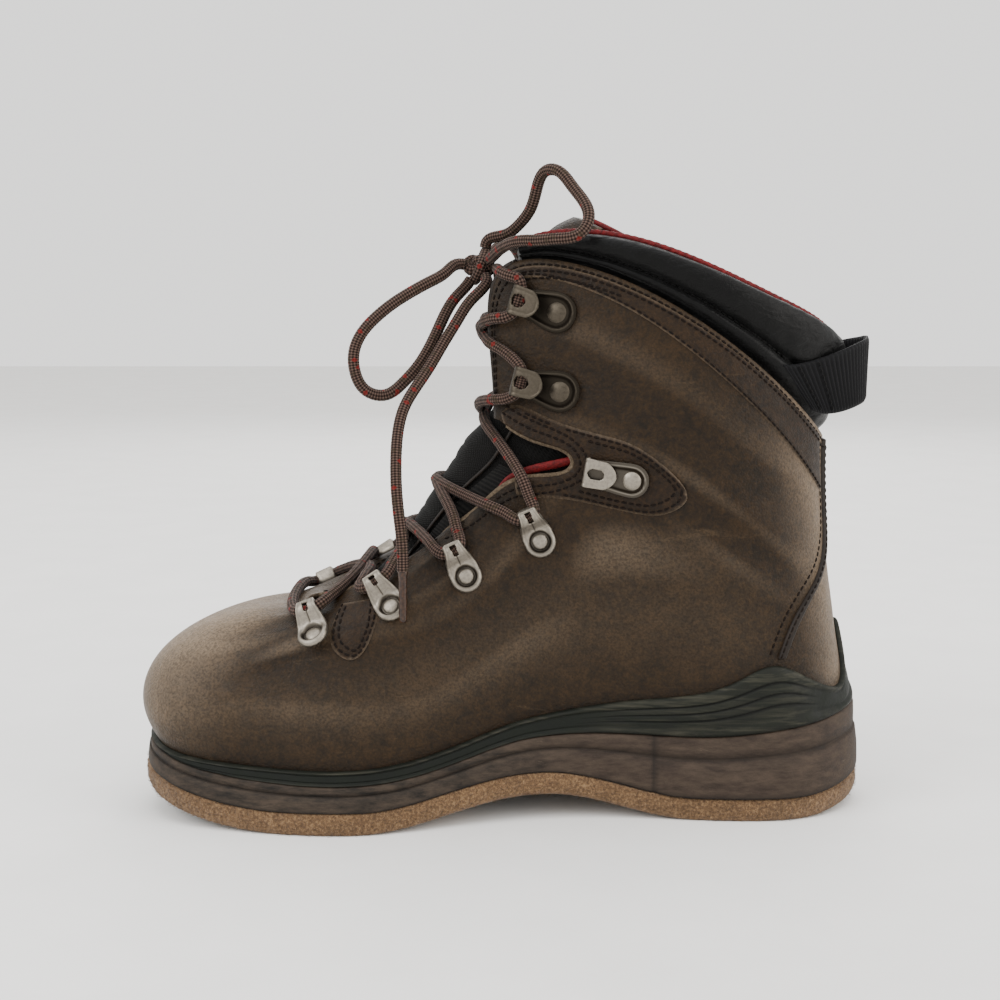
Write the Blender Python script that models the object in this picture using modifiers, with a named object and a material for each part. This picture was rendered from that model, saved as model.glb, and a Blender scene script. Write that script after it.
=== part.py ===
"""A right wading boot, empty and standing on its felt sole: toe to -X, heel to +X, medial side to -Y.

The upper is one surface, worked out from the table UPPER: each row is a line that runs from the feather
edge, where the upper meets the sole, up to the throat or collar edge. Everything that lies on the boot's
side is placed on that surface by its own functions. Lengths are metres.
"""

import math

import bmesh
import bpy
import numpy as np
from mathutils import Matrix, Vector
from mathutils.bvhtree import BVHTree

MM = 0.001

# Driving sizes of the boot
LENGTH = 320 * MM
BALL_WIDTH = 116 * MM
COLLAR_WIDTH = 82 * MM
TOE_HEIGHT = 89 * MM
SHAFT_HEIGHT = 237 * MM
SEAT_HEIGHT = 37 * MM
WALL = 2.6 * MM
GAP = 0.3 * MM
SOFT_FIT = 0.8 * MM
OVERLAY_FIT = 0.6 * MM
BAND_FIT = 0.9 * MM

# Sole
FELT = 9.5 * MM
TOE_SPRING = 14 * MM
ARCH_RISE = 12.3 * MM
HEEL_BEVEL = 6 * MM
SOLE_MARGIN = 3.6 * MM
SOLE_FLARE = 1.4 * MM
SIDE_STEP = 0.9 * MM
FELT_EDGE = 1.2 * MM
INSOLE = 4 * MM
RAND_THICKNESS = 2.9 * MM
RAND_LIP = 1.1 * MM
WING_GROOVE = 1.0 * MM

# Collar, tongue and pull loop
PAD_THICKNESS = 9.5 * MM
PAD_TUCK = 12 * MM
PAD_RISE = 40 * MM
PIPING = 1.5 * MM
TONGUE_THICKNESS = 5 * MM
FACING_THICKNESS = 1.4 * MM
OVERLAY = 1.2 * MM
SEAM_WIDTH = 5.5 * MM
SEAM_THICKNESS = 2.4 * MM
WEBBING = 1.8 * MM
WEBBING_WIDTH = 28 * MM
LOOP_REACH = 11 * MM

# Lace and hardware
LACE = 5.0 * MM
LACE_FIT = 1.2 * MM
TUNNEL_FIT = 0.5 * MM
METAL = 1.1 * MM
RING_LENGTH = 15.5 * MM
RING_RADIUS = 6.7 * MM
RING_TOP_WIDTH = 9.0 * MM
RIVET_RADIUS = 3.8 * MM
HOOK_WIDTH = 12.5 * MM
HOOK_REACH = 20.5 * MM
HOOK_PLATE_RADIUS = 8.6 * MM
HOOK_MOUTH = 5.6 * MM
HOOK_RETURN = 10.5 * MM
HOOK_SLOT = 5.4 * MM
LOCK_PLATE_RADIUS = 7.2 * MM
LOCK_MOUTH = 1.2 * MM
LOCK_RETURN = 12.5 * MM
HOOK_RIVET = 4.5 * MM
AGLET_LENGTH = 21 * MM
AGLET_RADIUS = 2.2 * MM

COLUMNS = 40
ROWS = 8
TONGUE_SECTIONS = 20
STRAND_POINTS = 13

# Lines round the upper, toe to heel. Station and top_x are shares of LENGTH, medial and lateral shares of
# BALL_WIDTH, top_rise the share of the way from TOE_HEIGHT to SHAFT_HEIGHT, top_half a share of
# COLLAR_WIDTH, low and high the swell of the side as shares of BALL_WIDTH.
UPPER_COLUMNS = "station medial lateral top_x top_rise top_half fullness low high".split()
UPPER = (
    (-0.475, 0.060, -0.060, -0.272, 0.000, 0.015, 1.20, 0.078, 0.000),
    (-0.453, 0.262, 0.135, -0.258, 0.006, 0.125, 1.18, 0.070, 0.000),
    (-0.394, 0.378, 0.290, -0.208, 0.024, 0.185, 1.10, 0.048, 0.000),
    (-0.298, 0.447, 0.425, -0.146, 0.111, 0.225, 0.96, 0.030, 0.000),
    (-0.182, 0.466, 0.492, -0.070, 0.236, 0.270, 0.84, 0.024, 0.000),
    (-0.056, 0.368, 0.487, -0.014, 0.453, 0.275, 0.62, 0.036, 0.004),
    (0.078, 0.286, 0.418, -0.012, 0.747, 0.240, 0.42, 0.046, 0.030),
    (0.212, 0.284, 0.352, 0.010, 1.000, 0.262, 0.24, 0.036, 0.048),
    (0.338, 0.312, 0.322, 0.170, 0.949, 0.460, 0.06, 0.016, 0.046),
    (0.438, 0.233, 0.240, 0.350, 0.696, 0.430, 0.02, 0.010, 0.006),
    (0.486, 0.000, 0.000, 0.444, 0.498, 0.000, 0.00, -0.010, -0.022),
)
LINES = 2 * (len(UPPER) - 1)

# The seat that the upper stands on: station as a share of LENGTH, height as a share of SEAT_HEIGHT.
SEAT_COLUMNS = ("station", "height")
SEAT = (
    (-0.50, 0.94), (-0.44, 0.76), (-0.35, 0.63), (-0.24, 0.565), (-0.14, 0.60), (-0.06, 0.75),
    (0.02, 0.95), (0.08, 1.01), (0.19, 1.00), (0.28, 0.985), (0.36, 1.05), (0.44, 1.15), (0.50, 1.26),
)

# The rand's height above the seat, at lines of UPPER, and the collar band's depth below the top edge,
# as shares of SEAT_HEIGHT.
RAND_COLUMNS = ("line", "height")
RAND = (
    (0, 0.07), (1, 0.08), (2, 0.12), (3, 0.155), (4, 0.17), (5, 0.19), (6, 0.26), (7, 0.43),
    (8, 0.64), (8.45, 0.75), (8.8, 0.56), (9.2, 0.33), (9.5, 0.30), (9.75, 0.52), (10, 0.96),
)
BAND_FRONT, BAND_BACK = 7.0, 9.62
BAND_COLUMNS = ("line", "depth")
BAND = ((7.0, 0.18), (7.5, 0.26), (8.0, 0.38), (8.5, 0.56), (9.0, 0.70), (9.5, 0.76), (10.0, 0.78))

# The collar pad: its height above the leather edge as a share of PAD_RISE, its thickness and its outward
# lean at the top as shares of PAD_THICKNESS, at lines of UPPER.
PAD_COLUMNS = ("line", "rise", "thickness", "lean")
PAD = (
    (7.15, 0.16, 0.35, 0.00), (7.5, 0.27, 0.70, 0.00), (8.0, 0.43, 0.95, 0.05), (8.5, 0.59, 1.00, 0.12),
    (9.0, 0.80, 1.05, 0.30), (9.5, 1.02, 1.08, 0.62), (10.0, 1.04, 1.10, 0.80),
)

# The pad's cross-section, outside first. Columns: out, a share of the pad's thickness, and up, a share of
# its rise.
PAD_SECTION = (
    (0.02, 0.03), (0.20, 0.13), (0.16, 0.28), (-0.06, 0.37), (0.22, 0.47), (0.38, 0.68), (0.28, 0.88),
    (-0.12, 1.00), (-0.58, 0.95), (-0.90, 0.72), (-1.00, 0.30),
)

# The pull loop from its sewn end to the back: the line of UPPER beside it, its middle's height as a share
# of PAD_RISE and its distance from the collar edge as a share of LOOP_REACH, and its tilt in degrees.
LOOP_COLUMNS = ("line", "up", "out", "tilt")
LOOP = ((9.28, 0.14, 0.00, 44), (9.42, 0.26, 0.15, 38), (9.62, 0.48, 0.74, 26), (9.82, 0.68, 1.34, 14),
        (10.0, 0.76, 1.58, 8))

# The tongue's sections from the vamp to its top. Columns: centre_x, centre_z, edge_x, edge_z, half. Centre
# and edge are side-view points: x is a share of LENGTH, z the share of the way from TOE_HEIGHT to
# SHAFT_HEIGHT, and half is a share of COLLAR_WIDTH.
TONGUE = (
    (-0.276, -0.040, -0.262, -0.060, 0.110),
    (-0.191, 0.056, -0.166, -0.030, 0.250),
    (-0.131, 0.203, -0.084, 0.115, 0.320),
    (-0.109, 0.284, -0.041, 0.190, 0.316),
    (-0.080, 0.378, 0.004, 0.261, 0.342),
    (-0.058, 0.456, 0.080, 0.340, 0.360),
    (-0.040, 0.508, 0.103, 0.412, 0.385),
    (-0.008, 0.590, 0.110, 0.550, 0.360),
    (0.006, 0.740, 0.115, 0.700, 0.325),
    (0.026, 0.930, 0.130, 0.880, 0.290),
    (0.062, 1.070, 0.145, 0.990, 0.250),
    (0.088, 1.118, 0.155, 1.040, 0.238),
    (0.109, 1.138, 0.165, 1.072, 0.226),
)

# Rings, lock and hooks: the places of the rivet and the tip on the upper. Columns: name, rivet_line,
# rivet_rise, tip_line, tip_rise.
RINGS = (
    ("lace_ring_1", 3.15, 0.49, 2.25, 0.80),
    ("lace_ring_2", 3.98, 0.54, 3.55, 0.70),
    ("lace_ring_3", 4.92, 0.50, 4.61, 0.66),
    ("lace_ring_4", 6.04, 0.43, 5.87, 0.54),
)
LOCK = ("ankle_lock", 7.48, 0.52, 7.07, 0.52)
HOOKS = (
    ("speed_hook_1", 7.01, 0.69, 6.50, 0.76),
    ("speed_hook_2", 7.31, 0.87, 6.96, 0.91),
)

# The notch in the throat at the ankle bend, in side view. Columns: x, a share of LENGTH, and z, the share
# of the way from TOE_HEIGHT to SHAFT_HEIGHT.
NOTCH = ((-0.130, 0.195), (-0.080, 0.235), (-0.026, 0.319), (0.020, 0.392), (0.059, 0.402), (0.088, 0.415),
         (0.097, 0.432), (0.097, 0.448), (0.053, 0.501), (-0.001, 0.560), (-0.130, 0.620))

# Patches sewn on the side, from the toe's end to the heel's: their lower and upper rise at lines of UPPER.
PATCH_COLUMNS = ("line", "low", "high")
PATCH = ((5.76, 0.585, 0.860), (6.10, 0.525, 0.785), (6.50, 0.480, 0.690), (6.90, 0.452, 0.625),
         (7.30, 0.443, 0.606), (7.60, 0.452, 0.600), (7.82, 0.482, 0.598), (7.93, 0.525, 0.572))
TAB = ((3.18, 0.585, 0.630), (3.30, 0.500, 0.615), (3.44, 0.440, 0.590), (3.58, 0.400, 0.545),
       (3.70, 0.400, 0.505), (3.76, 0.430, 0.480))

# Lace from the toe up. Columns: name, upper, lower, place, spread, turn, high_line, high_rise, low_line,
# low_rise. The strand leaves the upper fitting and enters the lower one on the other side. It crosses the
# tongue at a place, its shoulders lie spread up and down from there and turn degrees out, and it passes the
# leather's edge at a high and a low point.
LACING = (
    ("lace_cross_1", "lace_ring_2", "lace_ring_1", 1.05, 0.06, 12, 3.15, 0.97, 2.70, 0.98),
    ("lace_cross_2", "lace_ring_3", "lace_ring_2", 1.95, 0.16, 26, 4.20, 0.95, 3.85, 0.95),
    ("lace_cross_3", "lace_ring_4", "lace_ring_3", 3.55, 0.30, 40, 5.02, 0.84, 4.82, 0.88),
    ("lace_cross_4", "speed_hook_1", "lace_ring_4", 6.35, 0.22, 34, 5.75, 1.00, 6.15, 0.62),
    ("lace_cross_5", "speed_hook_2", "speed_hook_1", 7.90, 0.20, 20, 6.42, 1.00, 6.10, 1.00),
)
VAMP_BAR = ((1.6, 0.88), (0.8, 0.92), (0.0, 0.93), (19.2, 0.92), (18.4, 0.88))
LAYING_ROUNDS = 12
LACE_EVENING = 0.35
TOP_STRAND = {"place": 9.22, "turn": 20, "line": 6.74, "rise": 0.94}
FACING_START = 9.0

# Free lace, as points in millimetres: the bow's two loops and its two hanging ends. Each leaves the knot
# in a direction of KNOT_EXITS, and a loop comes back in its second one.
KNOT_PLACE = (-8.4, 0.0, 237.4)
KNOT_SIZE = (6.6, 7.6, 7.2)
KNOT_FIT = 0.45
KNOT_EXITS = {
    "lace_loop_large": ((-1.0, -0.3, 0.05), (-0.55, -0.3, -0.8)),
    "lace_loop_small": ((0.45, -0.85, 0.3), (0.25, -0.2, 0.95)),
    "lace_end_near": ((0.25, -0.75, -0.6),),
    "lace_end_far": ((0.2, 1.0, 0.25),),
}
LACE_ROUTES = {
    "lace_loop_large": ((-26, -10, 232.5), (-41, -16, 224), (-54, -19, 214), (-61.5, -21, 203),
                        (-62, -22, 194), (-58, -22, 185), (-50.5, -21, 182), (-43, -20, 186), (-34, -18, 196), (-27, -14, 209),
                        (-21, -8.5, 221)),
    "lace_loop_small": ((2, -22, 245), (9, -31.5, 247), (18, -37.5, 247), (27, -41.5, 248), (35, -42, 251),
                        (36, -39, 258), (30, -31, 269), (20.5, -23, 277), (16.5, -18, 272), (13.5, -14, 262),
                        (5, -8, 252)),
    "lace_end_near": ((-14, -15, 220), (-23, -20, 206), (-32, -28, 191), (-40, -36, 178), (-43, -44, 160),
                      (-42.5, -50, 143), (-41, -53, 130), (-40, -54.5, 119), (-40, -55, 112)),
    "lace_end_far": ((1, 23, 247), (8, 40, 244), (13, 53, 228), (15, 56, 205), (13, 57, 184), (9, 58, 163),
                     (5, 59, 144), (2, 59, 129), (1, 60, 121)),
}
ROUTE_POINTS = {"lace_loop_large": 18, "lace_loop_small": 17, "lace_end_near": 13, "lace_end_far": 13}

# The seam between quarter and heel panel: line of UPPER and height as a share of SHAFT_HEIGHT.
SEAM_COLUMNS = ("line", "height")
SEAM = ((8.52, 0.296), (8.66, 0.335), (8.95, 0.395), (9.35, 0.450), (9.68, 0.505), (9.80, 0.570),
        (9.84, 0.640), (9.86, 0.686))


# Scene and mesh helpers

def clear_scene():
    for thing in list(bpy.data.objects):
        bpy.data.objects.remove(thing, do_unlink=True)


def new_collection(name):
    collection = bpy.data.collections.new(name)
    bpy.context.scene.collection.children.link(collection)
    return collection


def principled(name, colour, roughness, metallic=0.0):
    material = bpy.data.materials.new(name)
    material.use_nodes = True
    shader = material.node_tree.nodes["Principled BSDF"]
    shader.inputs["Base Color"].default_value = (*colour, 1.0)
    shader.inputs["Roughness"].default_value = roughness
    shader.inputs["Metallic"].default_value = metallic
    return material


def add_mesh(name, points, faces, material, collection):
    mesh = bpy.data.meshes.new(name)
    mesh.from_pydata([tuple(map(float, p)) for p in points], [], faces)
    mesh.update()
    thing = bpy.data.objects.new(name, mesh)
    thing.data.materials.append(material)
    collection.objects.link(thing)
    return thing


def face_outwards(thing):
    shell = bmesh.new()
    shell.from_mesh(thing.data)
    bmesh.ops.recalc_face_normals(shell, faces=shell.faces)
    if shell.calc_volume(signed=True) < 0:
        bmesh.ops.reverse_faces(shell, faces=shell.faces)
    shell.to_mesh(thing.data)
    shell.free()
    thing.data.update()


def shade(thing, angle=40):
    thing.data.shade_smooth()
    thing.data.set_sharp_from_angle(angle=math.radians(angle))


def loft(name, sections, material, collection, closed=False):
    """A closed solid through sections, which are loops of as many points each."""
    count = len(sections[0])
    points = [p for section in sections for p in section]
    faces = []
    pairs = len(sections) if closed else len(sections) - 1
    for i in range(pairs):
        start, after = i * count, (i + 1) % len(sections) * count
        for j in range(count):
            k = (j + 1) % count
            faces.append((start + j, start + k, after + k, after + j))
    if not closed:
        faces.append(tuple(range(count)))
        faces.append(tuple(reversed(range(len(points) - count, len(points)))))
    thing = add_mesh(name, points, faces, material, collection)
    face_outwards(thing)
    shade(thing)
    return thing


def stack(name, rings, floor, roof, material, collection, across=4):
    """A closed solid of rings round the sole, capped by rungs from the medial to the lateral side."""
    count = len(rings[0])
    points = [tuple(p) for ring in rings for p in ring]
    faces = []
    for i in range(len(rings) - 1):
        for j in range(count):
            k = (j + 1) % count
            faces.append((i * count + j, i * count + k, (i + 1) * count + k, (i + 1) * count + j))
    for ring_index, height in ((0, floor), (len(rings) - 1, roof)):
        start = ring_index * count
        rungs = []
        for j in range(1, count // 2):
            medial, lateral = start + j, start + count - j
            rung = [medial]
            for k in range(1, across):
                x, y, _ = np.array(points[medial]) * (1 - k / across) + np.array(points[lateral]) * k / across
                points.append((x, y, height(x, y)))
                rung.append(len(points) - 1)
            rungs.append(rung + [lateral])
        for first, second in zip(rungs, rungs[1:]):
            faces += [(first[k], first[k + 1], second[k + 1], second[k]) for k in range(across)]
        toe, heel = start, start + count // 2
        faces += [(toe, rungs[0][k], rungs[0][k + 1]) for k in range(across)]
        faces += [(heel, rungs[-1][k + 1], rungs[-1][k]) for k in range(across)]
    thing = add_mesh(name, points, faces, material, collection)
    face_outwards(thing)
    shade(thing)
    return thing


def tube(name, path, radius, material, collection, resolution=2):
    """A round tube along the path, with filled caps."""
    curve = bpy.data.curves.new(name, "CURVE")
    curve.dimensions = "3D"
    curve.bevel_depth = radius
    curve.bevel_resolution = resolution
    curve.use_fill_caps = True
    spline = curve.splines.new("POLY")
    spline.points.add(len(path) - 1)
    for point, place in zip(spline.points, path):
        point.co = (*map(float, place), 1.0)
    thing = bpy.data.objects.new(name, curve)
    thing.data.materials.append(material)
    collection.objects.link(thing)
    return thing


def as_mesh(thing, collection):
    """The curve as a mesh object of the same name, its caps welded."""
    bpy.context.view_layer.update()
    evaluated = thing.evaluated_get(bpy.context.evaluated_depsgraph_get())
    mesh = bpy.data.meshes.new_from_object(evaluated)
    name, place = thing.name, thing.matrix_world.copy()
    shell = bmesh.new()
    shell.from_mesh(mesh)
    bmesh.ops.remove_doubles(shell, verts=shell.verts, dist=1e-5)
    bmesh.ops.recalc_face_normals(shell, faces=shell.faces)
    shell.to_mesh(mesh)
    shell.free()
    bpy.data.objects.remove(thing, do_unlink=True)
    made = bpy.data.objects.new(name, mesh)
    made.matrix_world = place
    collection.objects.link(made)
    return made


def boolean(thing, operation, tool):
    modifier = thing.modifiers.new(operation.lower(), "BOOLEAN")
    modifier.operation = operation
    modifier.object = tool
    modifier.solver = "EXACT"
    tool.hide_render = True
    tool.display_type = "WIRE"
    return modifier


def cylinder(name, radius, depth, place, collection, sides=12):
    mesh = bpy.data.meshes.new(name)
    shell = bmesh.new()
    bmesh.ops.create_cone(shell, cap_ends=True, segments=sides, radius1=radius, radius2=radius, depth=depth)
    shell.to_mesh(mesh)
    shell.free()
    thing = bpy.data.objects.new(name, mesh)
    thing.matrix_world = place
    collection.objects.link(thing)
    return thing


# Smooth curves through chosen values

def natural_spline(knots, values):
    """The natural cubic spline through values at rising knots, as a function of an array."""
    knots, values = np.array(knots, float), np.array(values, float)
    count, step = len(knots), np.diff(knots)
    slope = np.diff(values, axis=0) / step.reshape(-1, *[1] * (values.ndim - 1))
    system, right = np.eye(count), np.zeros_like(values)
    for i in range(1, count - 1):
        system[i, i - 1:i + 2] = step[i - 1], 2 * (step[i - 1] + step[i]), step[i]
        right[i] = 6 * (slope[i] - slope[i - 1])
    bend = np.linalg.solve(system, right)

    def at(where):
        where = np.clip(np.asarray(where, float), knots[0], knots[-1])
        i = np.clip(np.searchsorted(knots, where) - 1, 0, count - 2)
        h = step[i]
        a, b = (knots[i + 1] - where) / h, (where - knots[i]) / h
        if values.ndim > 1:
            a, b, h = a[..., None], b[..., None], h[..., None]
        return (a * values[i] + b * values[i + 1]
                + ((a ** 3 - a) * bend[i] + (b ** 3 - b) * bend[i + 1]) * h * h / 6)

    return at


def ring_spline(values):
    """The periodic cubic spline through values at whole numbers, as a function of an array."""
    values = np.array(values, float)
    count = len(values)
    system = 4 * np.eye(count) + np.roll(np.eye(count), 1, axis=1) + np.roll(np.eye(count), -1, axis=1)
    bend = np.linalg.solve(system, 6 * (np.roll(values, -1, 0) - 2 * values + np.roll(values, 1, 0)))

    def at(where):
        where = np.asarray(where, float) % count
        i = np.floor(where).astype(int) % count
        b = (where - np.floor(where))[..., None]
        a = 1 - b
        k = (i + 1) % count
        return (a * values[i] + b * values[k]
                + ((a ** 3 - a) * bend[i] + (b ** 3 - b) * bend[k]) / 6)

    return at


def column(table, names, name):
    return np.array([row[list(names).index(name)] for row in table], float)


def smooth_path(points, count):
    """count points, evenly spread, along a smooth curve through the given ones."""
    points = np.array(points, float)
    knots = np.concatenate([[0], np.cumsum(np.linalg.norm(np.diff(points, axis=0), axis=1))])
    return natural_spline(knots, points)(np.linspace(0, knots[-1], count))


# The sole's heights

def height_at(share):
    """A height given as the share of the way from TOE_HEIGHT to SHAFT_HEIGHT."""
    return TOE_HEIGHT + share * (SHAFT_HEIGHT - TOE_HEIGHT)


def seat_height(x):
    stations = column(SEAT, SEAT_COLUMNS, "station") * LENGTH
    heights = column(SEAT, SEAT_COLUMNS, "height") * SEAT_HEIGHT
    return natural_spline(stations, heights)(x)


TREAD_TOE, ARCH_FRONT, ARCH_TOP, ARCH_BACK, TREAD_HEEL = -0.28, -0.185, 0.056, 0.265, 0.39
LATERAL_ARCH = 0.6


def felt_underside(x, y):
    """The tread's height: flat under ball and heel, with toe spring, arch and bevelled heel."""
    share = np.asarray(x, float) / LENGTH
    spring = np.clip((TREAD_TOE - share) / (TREAD_TOE + 0.5), 0, 2) ** 2 * TOE_SPRING
    bevel = np.clip((share - TREAD_HEEL) / (0.5 - TREAD_HEEL), 0, 2) ** 2 * HEEL_BEVEL
    rise = np.clip((share - ARCH_FRONT) / (ARCH_TOP - ARCH_FRONT), 0, 1)
    fall = np.clip((ARCH_BACK - share) / (ARCH_BACK - ARCH_TOP), 0, 1)
    arch = (1 - np.cos(math.pi * np.minimum(rise, fall))) / 2 * ARCH_RISE
    side = np.clip(np.asarray(y, float) / BALL_WIDTH + 0.5, 0, 1)
    return spring + bevel + arch * (1 - (1 - LATERAL_ARCH) * side)


# The upper's surface: line runs round the boot from the toe (0) by the medial side to the heel
# (LINES / 2) and back by the lateral side, and rise runs from the feather edge (0) to the top edge (1).

def all_round(medial, lateral):
    """Values at every line: toe, medial side, heel, lateral side."""
    return np.concatenate([medial, lateral[-2:0:-1]])


def upper_splines():
    def values(name):
        return column(UPPER, UPPER_COLUMNS, name)

    stations, top_x = values("station") * LENGTH, values("top_x") * LENGTH
    top_z, top_y = height_at(values("top_rise")), values("top_half") * COLLAR_WIDTH
    medial, lateral = values("medial") * BALL_WIDTH, values("lateral") * BALL_WIDTH
    shape = np.stack([values("fullness"), values("low") * BALL_WIDTH, values("high") * BALL_WIDTH], axis=1)
    feather = np.stack([all_round(stations, stations), all_round(-medial, lateral)], axis=1)
    top = np.stack([all_round(top_x, top_x), all_round(-top_y, top_y), all_round(top_z, top_z)], axis=1)
    return ring_spline(feather), ring_spline(top), ring_spline(all_round(shape, shape))


FEATHER, TOP_EDGE, SHAPE = upper_splines()


def outline(line, margin=0.0):
    """The feather edge in plan, moved outwards by margin."""
    line = np.asarray(line, float)
    step = 0.02
    along = FEATHER(line + step) - FEATHER(line - step)
    along /= np.linalg.norm(along, axis=-1, keepdims=True)
    outwards = np.stack([along[..., 1], -along[..., 0]], axis=-1)
    return FEATHER(line) + outwards * np.asarray(margin, float)[..., None], outwards


def upper_point(line, rise):
    line, rise = np.broadcast_arrays(np.asarray(line, float), np.asarray(rise, float))
    plan, outwards = outline(line)
    top = TOP_EDGE(line)
    shape = SHAPE(line)
    low_edge = seat_height(plan[..., 0]) + GAP
    full = shape[..., 0]
    near = (1 - full) * (1 - rise) + full * np.cos(rise * math.pi / 2)
    up = (1 - full) * rise + full * np.sin(rise * math.pi / 2)
    swell = 6.75 * rise * (1 - rise) * (shape[..., 1] * (1 - rise) + shape[..., 2] * rise)
    flat = top[..., :2] + (plan - top[..., :2]) * near[..., None] + outwards * swell[..., None]
    height = low_edge + (top[..., 2] - low_edge) * up
    return np.concatenate([flat, height[..., None]], axis=-1)


def upper_normal(line, rise):
    line, rise = np.broadcast_arrays(np.asarray(line, float), np.asarray(rise, float))
    step = 0.01
    low, high = np.clip(rise - step, 0, 1), np.clip(rise + step, 0, 1)
    along = upper_point(line + step, rise) - upper_point(line - step, rise)
    upwards = upper_point(line, high) - upper_point(line, low)
    normal = np.cross(along, upwards)
    return normal / np.linalg.norm(normal, axis=-1, keepdims=True)


def off_upper(line, rise, distance):
    """A point that far outside the upper's outer face, or inside it where the distance is negative."""
    normal = upper_normal(line, rise)
    return upper_point(line, rise) + normal * np.asarray(distance, float)[..., None]


def rise_at(line, height):
    """The rise at which a line reaches a height."""
    rises = np.linspace(0, 1, 201)
    return float(np.interp(height, upper_point(np.full(201, line), rises)[:, 2], rises))


def on_side(line, side):
    """The same place on the medial (-1) or the lateral (+1) side."""
    return line if side < 0 else LINES - line


def surface_near(line, rise, offset):
    """The point of the surface below or above a small offset from one of its points."""
    step = 0.01
    slopes = np.stack([upper_point(line + step, rise) - upper_point(line - step, rise),
                       upper_point(line, rise + step) - upper_point(line, rise - step)], axis=1) / (2 * step)
    along, up = np.linalg.lstsq(slopes, np.array(offset), rcond=None)[0]
    return upper_point(line + along, np.clip(rise + up, 0, 1))


def side_place(x_share, z_share):
    return x_share * LENGTH, height_at(z_share)


# Pieces of the sole

def sole_ring(margin, height):
    lines = np.arange(COLUMNS) * LINES / COLUMNS
    plan, _ = outline(lines, np.full(COLUMNS, margin))
    return [(x, y, height(x, y)) for x, y in plan]


def make_felt(material, parts):
    def bottom(x, y):
        return float(felt_underside(x, y))

    def raised(by):
        return lambda x, y: bottom(x, y) + by

    wide = SOLE_MARGIN + SOLE_FLARE
    rings = [sole_ring(wide - FELT_EDGE, bottom), sole_ring(wide, raised(FELT_EDGE)),
             sole_ring(wide + GAP, raised(FELT / 2)), sole_ring(wide - GAP, raised(FELT))]
    return stack("felt_outsole", rings, bottom, raised(FELT), material, parts, across=3)


def make_midsole(material, parts):
    def seat(x, _y):
        return float(seat_height(x))

    def bed(x, y):
        return float(felt_underside(x, y)) + FELT + GAP

    def between(share):
        return lambda x, y: bed(x, y) + share * (seat(x, y) - bed(x, y))

    rings = [sole_ring(SOLE_MARGIN + SOLE_FLARE - GAP, bed),
             sole_ring(SOLE_MARGIN + SOLE_FLARE, between(0.12)),
             sole_ring(SOLE_MARGIN + SOLE_FLARE / 2, between(0.60)),
             sole_ring(SOLE_MARGIN + SOLE_FLARE / 2 - SIDE_STEP, between(0.68)),
             sole_ring(SOLE_MARGIN, between(0.80)),
             sole_ring(SOLE_MARGIN, seat)]
    return stack("midsole", rings, bed, seat, material, parts, across=3)


def make_insole(material, parts):
    inset = -(WALL + SOFT_FIT)
    def low(x, _y):
        return float(seat_height(x)) + GAP

    def high(x, y):
        return low(x, y) + INSOLE

    rings = [sole_ring(inset, low), sole_ring(inset, high)]
    return stack("insole", rings, low, high, material, parts, across=2)


def make_rand(material, parts):
    """The rubber rand round the upper's foot, with a grooved wing on each side of the heel."""
    heights = natural_spline(column(RAND, RAND_COLUMNS, "line"), column(RAND, RAND_COLUMNS, "height"))
    steps = (0.0, 0.34, 0.43, 0.52, 0.61, 0.70, 0.79, 0.88, 1.0)
    grooved = (0.43, 0.61, 0.79)
    sections = []
    for line in np.arange(COLUMNS) * LINES / COLUMNS:
        from_toe = min(line, LINES - line)
        top = float(seat_height(outline(line)[0][0])) + float(heights(from_toe)) * SEAT_HEIGHT
        end = rise_at(line, top)
        wing = float(np.clip((from_toe - 6.3) / 1.2, 0, 1) * np.clip((9.0 - from_toe) / 0.35, 0, 1))
        outer = []
        for step in steps:
            depth = WING_GROOVE * wing if step in grooved else 0.0
            thickness = RAND_THICKNESS * (1 - step) + RAND_LIP * step + GAP - depth
            thickness += RAND_LIP * wing * math.sin(math.pi * step)
            outer.append(off_upper(line, end * step, thickness))
        outer[0] = np.array([*outline(line, RAND_THICKNESS + GAP)[0], outer[0][2]])
        inner = [off_upper(line, end * step, GAP) for step in (1.0, 0.5, 0.0)]
        sections.append(outer + inner)
    for section in sections:
        for point in section:
            point[2] = max(point[2], float(seat_height(point[0])) + GAP)
    return loft("rand", sections, material, parts, closed=True)


# The upper and what is sewn to it

def side_prism(name, outline_points, cutters, reach=0.2):
    """A prism through the whole boot, from its side-view outline."""
    near = [(x, -reach, z) for x, z in outline_points]
    far = [(x, reach, z) for x, z in outline_points]
    thing = loft(name, [near, far], cutters_material(), cutters)
    thing.hide_render = True
    thing.display_type = "WIRE"
    return thing


def cutters_material():
    return bpy.data.materials.get("cutter") or principled("cutter", (0.8, 0.2, 0.2), 0.5)


def grown(points, by):
    """The outline moved outwards by a distance."""
    points = np.array(points, float)
    before, after = np.roll(points, 1, 0), np.roll(points, -1, 0)
    along = (after - before) / np.linalg.norm(after - before, axis=1, keepdims=True)
    outwards = np.stack([along[:, 1], -along[:, 0]], axis=1)
    return points + outwards * by


def make_upper(leather, parts, cutters):
    lines = np.arange(COLUMNS) * LINES / COLUMNS
    rises = np.linspace(0, 1, ROWS + 1)
    points = [p for rise in rises for p in upper_point(lines, np.full(COLUMNS, rise))]
    faces = []
    for j in range(ROWS):
        for i in range(COLUMNS):
            k = (i + 1) % COLUMNS
            faces.append((j * COLUMNS + i, j * COLUMNS + k, (j + 1) * COLUMNS + k, (j + 1) * COLUMNS + i))
    thing = add_mesh("upper", points, faces, leather, parts)
    shade(thing)
    wall = thing.modifiers.new("wall", "SOLIDIFY")
    wall.thickness = WALL
    wall.offset = -1
    wall.use_even_offset = True
    notch = side_prism("notch_cutter", [side_place(x, z) for x, z in NOTCH], cutters)
    boolean(thing, "DIFFERENCE", notch)
    return thing


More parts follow.
